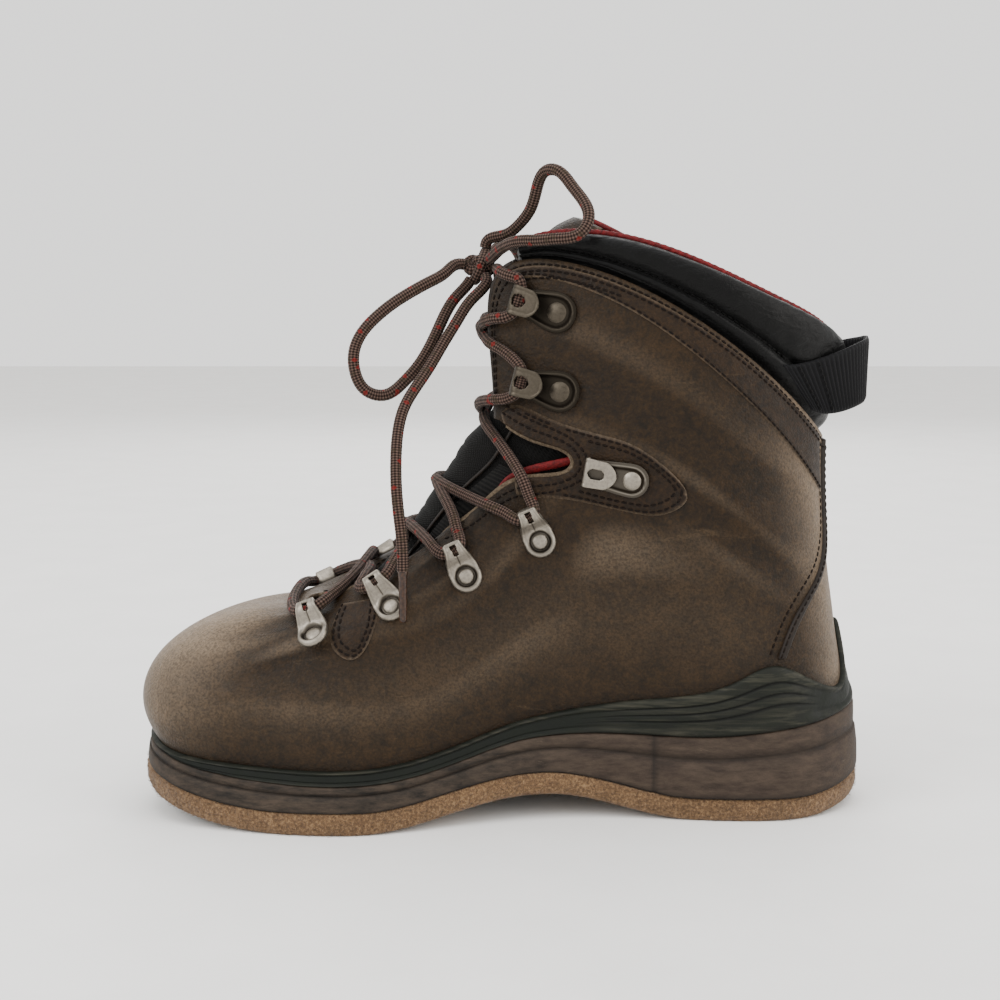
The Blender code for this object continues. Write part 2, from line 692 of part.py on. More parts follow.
def overlay(name, rows, thickness, material, parts, fit=OVERLAY_FIT):
    """A strip laid on the upper: rows of (line, rise) points from one long edge to the other."""
    sections = []
    for row in rows:
        outer = [off_upper(line, rise, fit + thickness) for line, rise in row]
        inner = [off_upper(line, rise, fit) for line, rise in reversed(row)]
        sections.append(outer + inner)
    return loft(name, sections, material, parts)


def make_band(side, name, material, parts):
    """The stitched band under the collar edge, from the front corner to the heel seam."""
    depths = natural_spline(column(BAND, BAND_COLUMNS, "line"), column(BAND, BAND_COLUMNS, "depth"))
    lines = np.arange(COLUMNS // 2 + 1) * LINES / COLUMNS
    lines = [BAND_FRONT, *[line for line in lines if BAND_FRONT + 0.05 < line < BAND_BACK - 0.05], BAND_BACK]
    rows = []
    for line in lines:
        low = rise_at(line, float(TOP_EDGE(line)[2]) - float(depths(line)) * SEAT_HEIGHT)
        rows.append([(on_side(line, side), low + share * (1 - low)) for share in (0.0, 0.35, 0.7, 0.97)])
    return overlay(name, rows, OVERLAY, material, parts, BAND_FIT)


def make_patch(side, name, table, count, material, parts):
    """A patch sewn on the side, between the lower and the upper rise of its table."""
    lines, lows, highs = (column(table, PATCH_COLUMNS, name) for name in PATCH_COLUMNS)
    low_rise, high_rise = natural_spline(lines, lows), natural_spline(lines, highs)
    rows = []
    for line in np.linspace(lines[0], lines[-1], count):
        low, high = float(low_rise(line)), float(high_rise(line))
        rows.append([(on_side(line, side), low + (high - low) * share) for share in (0, 0.33, 0.67, 1)])
    return overlay(name, rows, OVERLAY, material, parts)


def notch_patch(thing, cutters):
    place = [side_place(x, z) for x, z in NOTCH]
    boolean(thing, "DIFFERENCE", side_prism(thing.name + "_notch", grown(place, GAP), cutters))


def make_seam(side, name, material, parts):
    """The raised folded edge of the quarter at the heel panel."""
    lines, shares = (column(SEAM, SEAM_COLUMNS, name) for name in SEAM_COLUMNS)
    path = natural_spline(shares * SHAFT_HEIGHT, lines)
    rows = []
    heights = np.linspace(SEAM[0][1], SEAM[-1][1], 12) * SHAFT_HEIGHT
    for height in heights:
        line = float(path(height))
        around = float(np.linalg.norm(upper_point(line + 0.05, 0.5) - upper_point(line - 0.05, 0.5))) / 0.1
        half = SEAM_WIDTH / 2 / around
        row = []
        for shift in (-half, 0, half):
            place = min(line + shift, LINES / 2 - GAP / around)
            row.append((on_side(place, side), rise_at(place, height)))
        rows.append(row)
    return overlay(name, rows, SEAM_THICKNESS, material, parts)


# Collar and tongue

def collar_frame(line):
    """The top edge's point and its plan direction outwards."""
    step = 0.05
    along = TOP_EDGE(line + step) - TOP_EDGE(line - step)
    outwards = np.array([along[1], -along[0], 0.0])
    return TOP_EDGE(line), outwards / np.linalg.norm(outwards)


def pad_point(line, out, up):
    """A point of the pad at a place round the collar: out in metres from the leather, up in metres."""
    edge, outwards = collar_frame(line)
    return edge + outwards * out + np.array([0, 0, up])


def pad_values(line):
    """The pad's rise, thickness and lean at a place round the collar."""
    from_toe = min(line, LINES - line)
    knots = column(PAD, PAD_COLUMNS, "line")
    rise, thickness, lean = (
        float(natural_spline(knots, column(PAD, PAD_COLUMNS, name))(from_toe)) for name in PAD_COLUMNS[1:])
    return rise * PAD_RISE, thickness * PAD_THICKNESS, lean * PAD_THICKNESS


def pad_lines():
    lines = np.arange(COLUMNS + 1) * LINES / COLUMNS
    inner = [line for line in lines if PAD[0][0] + 0.05 < min(line, LINES - line)]
    return [PAD[0][0], *inner, LINES - PAD[0][0]]


def make_pad(material, parts):
    sections = []
    for line in pad_lines():
        rise, thickness, lean = pad_values(line)
        edge = float(TOP_EDGE(line)[2])
        inside = -(WALL + SOFT_FIT)
        section = [off_upper(line, rise_at(line, edge - PAD_TUCK * share), inside) for share in (1.0, 0.5)]
        for out, up in PAD_SECTION:
            base = inside * max(0.0, 1 - 4 * up) if out > -0.5 else inside
            section.append(pad_point(line, base + out * thickness + lean * up ** 2, up * rise + GAP))
        section.append(off_upper(line, rise_at(line, edge - PAD_TUCK), inside - thickness * 0.55))
        sections.append(section)
    return loft("collar_pad", sections, material, parts)


def make_collar_piping(material, parts):
    path = []
    for line in pad_lines():
        rise, thickness, lean = pad_values(line)
        path.append(pad_point(line, lean - 0.40 * thickness, rise + PIPING + SOFT_FIT))
    return tube("collar_piping", path, PIPING, material, parts, resolution=1)


TONGUE_SHAPE = natural_spline(np.arange(len(TONGUE)), np.array(TONGUE))


def tongue_place(position, turn, inset):
    """A point round the tongue's front, that far inside its outer face: turn runs from -pi/2 at its medial
    edge to pi/2 at its lateral edge."""
    centre_x, centre_z, edge_x, edge_z, half = TONGUE_SHAPE(position)
    centre, edge = np.array(side_place(centre_x, centre_z)), np.array(side_place(edge_x, edge_z))
    depth = np.linalg.norm(edge - centre)
    inwards = (depth - inset) * (1 - math.cos(turn)) + inset
    x, z = centre + (edge - centre) / depth * inwards
    return x, (half * COLLAR_WIDTH - WALL - inset) * math.sin(turn), z


def tongue_rung(position, inset, count=7):
    """Points across the tongue from its medial to its lateral edge."""
    return [tongue_place(position, turn, inset) for turn in np.linspace(-math.pi / 2, math.pi / 2, count)]


def make_tongue(material, parts):
    sections = []
    for position in np.linspace(0, len(TONGUE) - 1, TONGUE_SECTIONS):
        outer = tongue_rung(position, 0.0)
        inner = tongue_rung(position, TONGUE_THICKNESS)
        sections.append(outer + inner[::-1])
    return loft("tongue", sections, material, parts)


def make_facing(material, parts):
    """The leather facing on the tongue's top, outside the padding."""
    sections = []
    for position in np.linspace(FACING_START, len(TONGUE) - 1, 7):
        outer = tongue_rung(position, -(FACING_THICKNESS + SOFT_FIT))[1:-1]
        inner = tongue_rung(position, -SOFT_FIT)[1:-1]
        sections.append(outer + inner[::-1])
    return loft("tongue_facing", sections, material, parts)


def make_tongue_piping(material, parts):
    top = len(TONGUE) - 1
    rim = np.array(tongue_rung(top, TONGUE_THICKNESS / 2))
    below = np.array(tongue_rung(top - 0.2, TONGUE_THICKNESS / 2))
    lift = rim - below
    lift /= np.linalg.norm(lift, axis=1, keepdims=True)
    path = rim + lift * (PIPING + SOFT_FIT)
    return tube("tongue_piping", smooth_path(path, 12), PIPING, material, parts, resolution=1)


def make_pull_loop(material, parts):
    """Webbing round the back of the collar, open behind for a finger."""
    knots = column(LOOP, LOOP_COLUMNS, "line")
    ups, outs, tilts = (natural_spline(knots, column(LOOP, LOOP_COLUMNS, name)) for name in LOOP_COLUMNS[1:])
    half = []
    for line in np.linspace(knots[0], knots[-1], 9):
        _, outwards = collar_frame(line)
        backwards = np.array([-outwards[1], outwards[0], 0.0])
        middle = pad_point(line, float(outs(line)) * LOOP_REACH, float(ups(line)) * PAD_RISE)
        tilt = math.radians(float(tilts(line)))
        upwards = np.array([0, 0, math.cos(tilt)]) - backwards * math.sin(tilt)
        section = []
        for away, along in ((0, -0.5), (WEBBING, -0.5), (WEBBING, 0.5), (0, 0.5)):
            section.append(middle + outwards * away + upwards * along * WEBBING_WIDTH)
        half.append(section)
    mirrored = [[point * np.array([1, -1, 1]) for point in section] for section in half[-2::-1]]
    return loft("pull_loop", half + mirrored, material, parts)


# Hardware

def seat_on_upper(row, side, reach, half, proud=0.0):
    """A fitting's frame: Z out of the leather, Y from the rivet towards the tip. It clears the leather
    under a plate that reaches so far and is so wide, with proud more under it."""
    _, rivet_line, rivet_rise, tip_line, tip_rise = row
    rivet_line, tip_line = on_side(rivet_line, side), on_side(tip_line, side)
    start, end = Vector(upper_point(rivet_line, rivet_rise)), Vector(upper_point(tip_line, tip_rise))
    normal = Vector(upper_normal((rivet_line + tip_line) / 2, (rivet_rise + tip_rise) / 2))
    along = end - start
    along -= normal * along.dot(normal)
    along.normalize()
    across = along.cross(normal)
    swell = 0.0
    for sideways in (-1, 0, 1):
        for share in (-half / reach, 0, 0.5, 1.0):
            offset = across * sideways * half * (1 - 0.4 * share) + along * share * reach
            here = Vector(surface_near(rivet_line, rivet_rise, offset))
            swell = max(swell, (here - start).dot(normal))
    frame = Matrix((across, along, normal)).transposed().to_4x4()
    frame.translation = start + normal * (swell + proud + GAP)
    return frame


def rounded_bar(stations):
    """Sections across a fitting: each station is (y, half width, height)."""
    sections = []
    for y, half, height in stations:
        edge = min(METAL * 0.6, height / 3)
        sections.append([(-half, y, 0), (half, y, 0), (half, y, height - edge), (half - edge, y, height),
                         (-half + edge, y, height), (-half, y, height - edge)])
    return sections


def dome(name, radius, height, place, collection):
    """A rivet head."""
    mesh = bpy.data.meshes.new(name)
    shell = bmesh.new()
    bmesh.ops.create_cone(shell, cap_ends=True, segments=7, radius1=radius, radius2=radius * 0.55, depth=height)
    bmesh.ops.translate(shell, verts=shell.verts, vec=(0, 0, height / 2))
    shell.to_mesh(mesh)
    shell.free()
    thing = bpy.data.objects.new(name, mesh)
    thing.matrix_world = place
    collection.objects.link(thing)
    return thing


def block(name, low, high, place, collection):
    """A box between two corners of its own frame."""
    mesh = bpy.data.meshes.new(name)
    shell = bmesh.new()
    bmesh.ops.create_cube(shell, size=1)
    size, middle = np.subtract(high, low), np.add(high, low) / 2
    bmesh.ops.scale(shell, verts=shell.verts, vec=tuple(size))
    bmesh.ops.translate(shell, verts=shell.verts, vec=tuple(middle))
    shell.to_mesh(mesh)
    shell.free()
    thing = bpy.data.objects.new(name, mesh)
    thing.matrix_world = place
    collection.objects.link(thing)
    return thing


BORE = LACE / 2 + TUNNEL_FIT
TUNNEL_Y, TUNNEL_Z = RING_LENGTH - METAL - BORE, METAL + BORE


def ring_frame(row, side):
    return seat_on_upper(row, side, RING_LENGTH, RING_RADIUS)


def make_ring(row, side, name, material, parts, cutters):
    """A cast lace ring: a plate that rises to a tunnel for the lace, riveted at its round end."""
    frame = ring_frame(row, side)
    crest, low = 2 * (BORE + METAL), 2 * METAL
    half, top_half = RING_RADIUS, RING_TOP_WIDTH / 2
    stations = ((-half, half * 0.45, low * 0.8), (-half * 0.7, half * 0.80, low), (0, half, low),
                (half * 0.75, half * 0.90, low * 1.1), (TUNNEL_Y - BORE * 0.8, top_half * 1.08, crest * 0.84),
                (TUNNEL_Y, top_half, crest), (RING_LENGTH, top_half * 0.95, crest * 0.82))
    thing = loft(name, rounded_bar(stations), material, parts)
    thing.matrix_world = frame
    sideways = Matrix.Rotation(math.pi / 2, 4, "Y")
    tunnel_place = frame @ Matrix.Translation((0, TUNNEL_Y, TUNNEL_Z)) @ sideways
    boolean(thing, "DIFFERENCE", cylinder(name + "_tunnel", BORE, 4 * half, tunnel_place, cutters, sides=6))
    recess_place = frame @ Matrix.Translation((0, 0, low + METAL * 0.4))
    recess_radius = RIVET_RADIUS + METAL * 0.7
    recess = cylinder(name + "_recess", recess_radius, METAL * 2.4, recess_place, cutters, sides=8)
    boolean(thing, "DIFFERENCE", recess)
    rivet_place = frame @ Matrix.Translation((0, 0, METAL * 0.4))
    boolean(thing, "UNION", dome(name + "_rivet", RIVET_RADIUS, low * 0.95, rivet_place, cutters))
    return thing


def curl_section(y, z, turn, half):
    """A section of bent sheet with its outer face first, as rounded_bar orders a flat one."""
    out = np.array([0, math.sin(turn), -math.cos(turn)]) * METAL / 2
    across, middle, edge = np.array([1.0, 0, 0]), np.array([0, y, z]), METAL * 0.3
    outer, inner = middle + out, middle - out
    return [outer - across * half, outer + across * half, inner + across * half + out * 0.5,
            inner + across * (half - edge), inner - across * (half - edge), inner - across * half + out * 0.5]


# The plate's outline round its rivet: place along the plate and half width, as shares of its radius.
HOOK_PLATE = ((-1.0, 0.42), (-0.7, 0.78), (0.0, 1.0), (0.8, 0.88))


def hook_frame(row, side, plate_radius, proud=0.0):
    return seat_on_upper(row, side, HOOK_REACH, plate_radius, proud)


def make_hook(row, side, name, sizes, material, parts, cutters, proud=0.0):
    """A riveted plate whose throat end folds up and back over the lace."""
    plate_radius, mouth, back = sizes
    frame = hook_frame(row, side, plate_radius, proud)
    half, bend = HOOK_WIDTH / 2, (mouth + METAL) / 2
    centre_y, centre_z = HOOK_REACH - bend - METAL / 2, METAL / 2 + bend
    stations = [(plate_radius * share, plate_radius * width, METAL) for share, width in HOOK_PLATE]
    plate = [[np.array(p) for p in section] for section in rounded_bar([*stations, (centre_y, half, METAL)])]
    for degrees in (45, 90, 135, 180):
        turn = math.radians(degrees)
        plate.append(curl_section(centre_y + bend * math.sin(turn), centre_z - bend * math.cos(turn), turn, half))
    for share, width in ((0.65, 1.0), (0.9, 0.8), (1.0, 0.5)):
        plate.append(curl_section(centre_y - back * share, centre_z + bend, math.pi, half * width))
    thing = loft(name, plate, material, parts)
    thing.matrix_world = frame
    rivet_place = frame @ Matrix.Translation((0, 0, METAL * 0.3))
    boolean(thing, "UNION", dome(name + "_rivet", HOOK_RIVET, METAL * 2.2, rivet_place, cutters))
    through_bend = METAL if mouth > LACE else -bend - 2 * METAL
    slot = block(name + "_slot", (-HOOK_SLOT / 2, centre_y - back * 0.55, centre_z + bend * 0.4),
                 (HOOK_SLOT / 2, centre_y + bend + through_bend, centre_z + bend + METAL), frame, cutters)
    boolean(thing, "DIFFERENCE", slot)
    return thing


# Lace

HOOK_SIZES = (HOOK_PLATE_RADIUS, HOOK_MOUTH, HOOK_RETURN)
LOCK_SIZES = (LOCK_PLATE_RADIUS, LOCK_MOUTH, LOCK_RETURN)


def lace_exit(name, side, way):
    """Where the lace leaves a fitting, then a point a little further out. Way is -1 for a ring's toe side
    or a hook's underside, and +1 for a ring's heel side or a hook's upper side."""
    row = next(row for row in RINGS + HOOKS if row[0] == name)
    if row in RINGS:
        frame, half, y, z = ring_frame(row, side), RING_TOP_WIDTH / 2 * 1.08, TUNNEL_Y, TUNNEL_Z
    else:
        bend = (HOOK_MOUTH + METAL) / 2
        frame, half = hook_frame(row, side, HOOK_PLATE_RADIUS), HOOK_WIDTH / 2
        y, z = HOOK_REACH - bend - METAL / 2, METAL / 2 + bend
    across = -side * way
    place = frame @ Vector((across * (half + SOFT_FIT), y, z))
    lead = frame @ Vector((across * (half + SOFT_FIT + LACE * 0.8), y + LACE * 0.1, z + 1.5 * OVERLAY))
    return [np.array(place), np.array(lead)]


def over_tongue(position, degrees):
    lift = LACE / 2 + SOFT_FIT
    if position > FACING_START - 1:
        lift += FACING_THICKNESS + SOFT_FIT
    return np.array(tongue_place(position, math.radians(degrees), -lift))


def over_edge(line, rise, side):
    return off_upper(on_side(line, side), rise, LACE / 2 + OVERLAY_FIT + OVERLAY + 2 * SOFT_FIT)


def faces_of(things):
    """One search tree of all the solids' faces."""
    bpy.context.view_layer.update()
    graph = bpy.context.evaluated_depsgraph_get()
    points, faces = [], []
    for thing in things:
        evaluated = thing.evaluated_get(graph)
        mesh = evaluated.to_mesh()
        start = len(points)
        points += [thing.matrix_world @ vertex.co for vertex in mesh.vertices]
        faces += [[start + corner for corner in face.vertices] for face in mesh.polygons]
        evaluated.to_mesh_clear()
    return BVHTree.FromPolygons(points, faces)


def lift_off(place, tree):
    """The move that takes a point of the lace's middle line clear of the solids, away from the foot."""
    near, normal, _, gap = tree.find_nearest(place)
    away = place - near
    outwards = Vector((-0.5, math.copysign(min(1.0, abs(place.y) / LACE / 4), place.y), 0.7))
    if normal.dot(outwards) < 0:
        return outwards.normalized() * LACE_FIT
    outside = 1 if away.dot(normal) > 0 else -1
    lacking = LACE / 2 + LACE_FIT - outside * gap
    return (away.normalized() * outside if gap > 0 else normal) * max(0.0, lacking)


def laid_on(path, tree):
    """The path with its inner points lifted until the lace lies clear of the solids, and evened out."""
    path = [Vector(point) for point in path]
    for _ in range(LAYING_ROUNDS):
        for i in range(2, len(path) - 2):
            path[i] = path[i].lerp((path[i - 1] + path[i + 1]) / 2, LACE_EVENING)
        for i in range(2, len(path) - 2):
            path[i] += lift_off(path[i], tree)
            for neighbour in (i - 1, i + 1):
                path[i] += lift_off(path[i].lerp(path[neighbour], 0.4), tree)
    return path


def strand(row, side):
    """One strand's path: from the upper fitting on that side over the tongue to the lower one beyond."""
    _, upper, lower, place, spread, turn, high_line, high_rise, low_line, low_rise = row
    (start, after), (end, before) = lace_exit(upper, side, -1), lace_exit(lower, -side, 1)
    path = [after, over_edge(high_line, high_rise, side),
            over_tongue(place + spread, side * turn), over_tongue(place, 0.0),
            over_tongue(place - spread, -side * turn), over_edge(low_line, low_rise, -side), before]
    return [start, *smooth_path(path, STRAND_POINTS), end]


def make_crossing(row, beneath, material, parts, cutters):
    near = laid_on(strand(row, -1), beneath)
    far = laid_on(strand(row, 1), beneath)
    near = as_mesh(tube(row[0], near, LACE / 2, material, parts, resolution=1), parts)
    far = as_mesh(tube(row[0] + "_far", far, LACE / 2, material, parts, resolution=1), cutters)
    boolean(near, "UNION", far)
    return near


def make_vamp_bar(beneath, material, parts):
    """The bar over the vamp, between the toe sides of the first rings."""
    (start, after), (end, before) = (lace_exit("lace_ring_1", side, -1) for side in (-1, 1))
    vamp = [off_upper(line, rise, LACE / 2 + SOFT_FIT) for line, rise in VAMP_BAR]
    path = [start, *smooth_path([after, *vamp, before], STRAND_POINTS), end]
    return tube("lace_bar", laid_on(path, beneath), LACE / 2, material, parts, resolution=1)


def make_top_strand(beneath, material, parts):
    """The strand that joins the top hooks under the knot."""
    (start, after), (end, before) = (lace_exit("speed_hook_2", side, 1) for side in (-1, 1))
    place, turn, line, rise = TOP_STRAND.values()
    path = [after, over_edge(line, rise, -1), over_tongue(place, -turn), over_tongue(place, 0.0),
            over_tongue(place, turn), over_edge(line, rise, 1), before]
    path = [start, *smooth_path(path, STRAND_POINTS), end]
    return tube("lace_cross_6", laid_on(path, beneath), LACE / 2, material, parts, resolution=1)


def knot_exit(direction):
    """Where a lace leaves the knot's face, and a point half a lace further out."""
    way = Vector(direction).normalized()
    reach = 1 / Vector([share / size for share, size in zip(way, KNOT_SIZE)]).length
    return [np.array(Vector(KNOT_PLACE) + way * (reach + KNOT_FIT + out)) * MM for out in (0, LACE / MM / 2)]


def lace_route(name):
    """The free lace's path, straight out of the knot and, on a loop, straight back into it."""
    exits = [knot_exit(direction) for direction in KNOT_EXITS[name]]
    inner = [exits[0][1], *np.array(LACE_ROUTES[name]) * MM, *[end[1] for end in exits[1:]]]
    return [exits[0][0], *smooth_path(inner, ROUTE_POINTS[name]), *[end[0] for end in exits[1:]]]


def make_free_lace(material, tip, parts):
    mesh = bpy.data.meshes.new("lace_knot")
    shell = bmesh.new()
    bmesh.ops.create_icosphere(shell, subdivisions=2, radius=1)
    bmesh.ops.scale(shell, verts=shell.verts, vec=Vector(KNOT_SIZE) * MM)
    bmesh.ops.translate(shell, verts=shell.verts, vec=Vector(KNOT_PLACE) * MM)
    shell.to_mesh(mesh)
    shell.free()
    knot = bpy.data.objects.new("lace_knot", mesh)
    knot.data.materials.append(material)
    parts.objects.link(knot)
    for name in LACE_ROUTES:
        path = lace_route(name)
        tube(name, path, LACE / 2, material, parts)
        if name.startswith("lace_end"):
            down = (path[-1] - path[-2]) / np.linalg.norm(path[-1] - path[-2])
            start = path[-1] + down * GAP
            stations = [start + down * AGLET_LENGTH * share for share in (0.0, 0.5, 1.0)]
            tube(name.replace("end", "aglet"), stations, AGLET_RADIUS, tip, parts, resolution=1)


def main():
    clear_scene()
    parts = new_collection("wading_boot")
    cutters = new_collection("cutters")
    leather = principled("waxed_leather", (0.105, 0.082, 0.055), 0.55)
    dark_leather = principled("band_leather", (0.085, 0.062, 0.045), 0.6)
    felt = principled("wool_felt", (0.30, 0.22, 0.14), 0.95)
    block = principled("block_rubber", (0.075, 0.065, 0.055), 0.8)
    green = principled("rand_rubber", (0.035, 0.042, 0.036), 0.6)
    foam = principled("neoprene", (0.012, 0.013, 0.016), 0.7)
    cloth = principled("tongue_cloth", (0.018, 0.018, 0.02), 0.9)
    red = principled("red_piping", (0.45, 0.03, 0.03), 0.7)
    webbing = principled("black_webbing", (0.01, 0.01, 0.012), 0.85)
    metal = principled("pewter_metal", (0.42, 0.40, 0.37), 0.4, 1.0)
    lace = principled("braided_lace", (0.16, 0.12, 0.10), 0.85)
    aglet = principled("clear_plastic_tip", (0.20, 0.15, 0.13), 0.35)

    make_felt(felt, parts)
    make_midsole(block, parts)
    make_insole(cloth, parts)
    make_rand(green, parts)
    under_lace = [make_upper(leather, parts, cutters), make_tongue(cloth, parts), make_facing(leather, parts)]
    make_pad(foam, parts)
    make_collar_piping(red, parts)
    make_tongue_piping(red, parts)
    make_pull_loop(webbing, parts)
    for side, word in ((-1, "medial"), (1, "lateral")):
        under_lace.append(make_band(side, "collar_band_" + word, dark_leather, parts))
        patch = make_patch(side, "ankle_patch_" + word, PATCH, 9, dark_leather, parts)
        notch_patch(patch, cutters)
        tab = make_patch(side, "vamp_tab_" + word, TAB, 6, dark_leather, parts)
        under_lace += [patch, tab]
        make_seam(side, "heel_seam_" + word, dark_leather, parts)
        for row in RINGS:
            under_lace.append(make_ring(row, side, row[0] + "_" + word, metal, parts, cutters))
        make_hook(LOCK, side, LOCK[0] + "_" + word, LOCK_SIZES, metal, parts, cutters, OVERLAY_FIT + OVERLAY)
        for row in HOOKS:
            under_lace.append(make_hook(row, side, row[0] + "_" + word, HOOK_SIZES, metal, parts, cutters))
    under_lace.append(make_vamp_bar(faces_of(under_lace), lace, parts))
    for row in LACING:
        under_lace.append(make_crossing(row, faces_of(under_lace), lace, parts, cutters))
    make_top_strand(faces_of(under_lace), lace, parts)
    make_free_lace(lace, aglet, parts)


main()
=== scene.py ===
# Looks of a right wading boot: waxed leather on a felt sole, toe to -X, heel to +X, medial side to -Y.
import bpy, bmesh, math, random
from functools import partial
import numpy as np
from mathutils import Matrix, Vector
from mathutils.bvhtree import BVHTree


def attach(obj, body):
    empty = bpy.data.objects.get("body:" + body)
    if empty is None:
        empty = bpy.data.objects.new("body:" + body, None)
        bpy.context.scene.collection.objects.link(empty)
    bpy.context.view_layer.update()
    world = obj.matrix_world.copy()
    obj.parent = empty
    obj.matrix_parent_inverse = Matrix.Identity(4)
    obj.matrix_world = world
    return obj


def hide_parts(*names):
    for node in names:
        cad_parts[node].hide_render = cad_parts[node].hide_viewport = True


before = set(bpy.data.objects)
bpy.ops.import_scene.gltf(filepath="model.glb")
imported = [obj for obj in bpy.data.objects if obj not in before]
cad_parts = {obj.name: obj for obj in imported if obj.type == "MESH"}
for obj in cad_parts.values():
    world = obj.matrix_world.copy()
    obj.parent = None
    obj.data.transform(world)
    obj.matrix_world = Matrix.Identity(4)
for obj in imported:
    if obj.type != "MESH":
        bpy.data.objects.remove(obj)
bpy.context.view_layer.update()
mm = 0.001
print("frame loaded with", len(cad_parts), "nodes")


# Smooth curves through chosen values

def naturalSpline(knots, values):
    knots, values = np.array(knots, float), np.array(values, float)
    count, step = len(knots), np.diff(knots)
    slope = np.diff(values, axis=0) / step.reshape(-1, *[1] * (values.ndim - 1))
    system, right = np.eye(count), np.zeros_like(values)
    for i in range(1, count - 1):
        system[i, i - 1:i + 2] = step[i - 1], 2 * (step[i - 1] + step[i]), step[i]
        right[i] = 6 * (slope[i] - slope[i - 1])
    bend = np.linalg.solve(system, right)

    def at(where):
        where = np.clip(np.asarray(where, float), knots[0], knots[-1])
        i = np.clip(np.searchsorted(knots, where) - 1, 0, count - 2)
        h = step[i]
        a, b = (knots[i + 1] - where) / h, (where - knots[i]) / h
        if values.ndim > 1:
            a, b, h = a[..., None], b[..., None], h[..., None]
        return (a * values[i] + b * values[i + 1]
                + ((a ** 3 - a) * bend[i] + (b ** 3 - b) * bend[i + 1]) * h * h / 6)

    return at


def ringSpline(values):
    values = np.array(values, float)
    count = len(values)
    system = 4 * np.eye(count) + np.roll(np.eye(count), 1, axis=1) + np.roll(np.eye(count), -1, axis=1)
    bend = np.linalg.solve(system, 6 * (np.roll(values, -1, 0) - 2 * values + np.roll(values, 1, 0)))

    def at(where):
        where = np.asarray(where, float) % count
        i = np.floor(where).astype(int) % count
        b = (where - np.floor(where))[..., None]
        a, k = 1 - b, (i + 1) % count
        return a * values[i] + b * values[k] + ((a ** 3 - a) * bend[i] + (b ** 3 - b) * bend[k]) / 6

    return at


def smoothPath(points, step=1.0 * mm):  # evenly spread points on a smooth curve through the given ones
    points = np.array(points, float)
    knots = np.concatenate([[0], np.cumsum(np.linalg.norm(np.diff(points, axis=0), axis=1))])
    dense = naturalSpline(knots, points)(np.linspace(0, knots[-1], 8 * len(points)))
    run = np.concatenate([[0], np.cumsum(np.linalg.norm(np.diff(dense, axis=0), axis=1))])
    where = np.linspace(0, run[-1], max(4, int(run[-1] / step) + 1))
    return np.stack([np.interp(where, run, dense[:, k]) for k in range(3)], axis=1)


def ease(low, high, value):
    t = np.clip((np.asarray(value, float) - low) / (high - low), 0, 1)
    return t * t * (3 - 2 * t)


def bell(value, centre, width):
    return np.exp(-((np.asarray(value, float) - centre) / width) ** 2)


# The boot's own surface, as in the part: line runs round the boot from the toe (0) by the medial side to
# the heel (10) and back, rise runs from the feather edge (0) to the top edge (1)

last = {"length": 320 * mm, "ballWidth": 116 * mm, "collarWidth": 82 * mm, "toeHeight": 89 * mm,
        "shaftHeight": 237 * mm, "seatHeight": 37 * mm, "wall": 2.6 * mm, "gap": 0.3 * mm,
        "felt": 9.5 * mm, "toeSpring": 14 * mm, "archRise": 12.3 * mm, "heelBevel": 6 * mm,
        "soleMargin": 3.6 * mm, "soleFlare": 1.4 * mm}

# Columns: station, medial, lateral, top x, top rise, top half, fullness, low swell, high swell
upperRows = (
    (-0.475, 0.060, -0.060, -0.272, 0.000, 0.015, 1.20, 0.078, 0.000),
    (-0.453, 0.262, 0.135, -0.258, 0.006, 0.125, 1.18, 0.070, 0.000),
    (-0.394, 0.378, 0.290, -0.208, 0.024, 0.185, 1.10, 0.048, 0.000),
    (-0.298, 0.447, 0.425, -0.146, 0.111, 0.225, 0.96, 0.030, 0.000),
    (-0.182, 0.466, 0.492, -0.070, 0.236, 0.270, 0.84, 0.024, 0.000),
    (-0.056, 0.368, 0.487, -0.014, 0.453, 0.275, 0.62, 0.036, 0.004),
    (0.078, 0.286, 0.418, -0.012, 0.747, 0.240, 0.42, 0.046, 0.030),
    (0.212, 0.284, 0.352, 0.010, 1.000, 0.262, 0.24, 0.036, 0.048),
    (0.338, 0.312, 0.322, 0.170, 0.949, 0.460, 0.06, 0.016, 0.046),
    (0.438, 0.233, 0.240, 0.350, 0.696, 0.430, 0.02, 0.010, 0.006),
    (0.486, 0.000, 0.000, 0.444, 0.498, 0.000, 0.00, -0.010, -0.022),
)
lines = 20
bothSides = ((-1, "medial"), (1, "lateral"))
# Columns: station as a share of the length, height as a share of the seat's
seatRows = ((-0.50, 0.94), (-0.44, 0.76), (-0.35, 0.63), (-0.24, 0.565), (-0.14, 0.60), (-0.06, 0.75),
            (0.02, 0.95), (0.08, 1.01), (0.19, 1.00), (0.28, 0.985), (0.36, 1.05), (0.44, 1.15),
            (0.50, 1.26))


def heightAt(share):
    return last["toeHeight"] + share * (last["shaftHeight"] - last["toeHeight"])


seatHeight = naturalSpline([x * last["length"] for x, _ in seatRows],
                           [z * last["seatHeight"] for _, z in seatRows])


def treadHeight(x, y):  # flat under ball and heel, with toe spring, arch and bevelled heel
    share = np.asarray(x, float) / last["length"]
    spring = np.clip((-0.28 - share) / 0.22, 0, 2) ** 2 * last["toeSpring"]
    bevel = np.clip((share - 0.39) / 0.11, 0, 2) ** 2 * last["heelBevel"]
    rise, fall = np.clip((share + 0.185) / 0.241, 0, 1), np.clip((0.265 - share) / 0.209, 0, 1)
    arch = (1 - np.cos(math.pi * np.minimum(rise, fall))) / 2 * last["archRise"]
    side = np.clip(np.asarray(y, float) / last["ballWidth"] + 0.5, 0, 1)
    return spring + bevel + arch * (1 - 0.4 * side)


def allRound(medial, lateral):
    return np.concatenate([medial, lateral[-2:0:-1]])


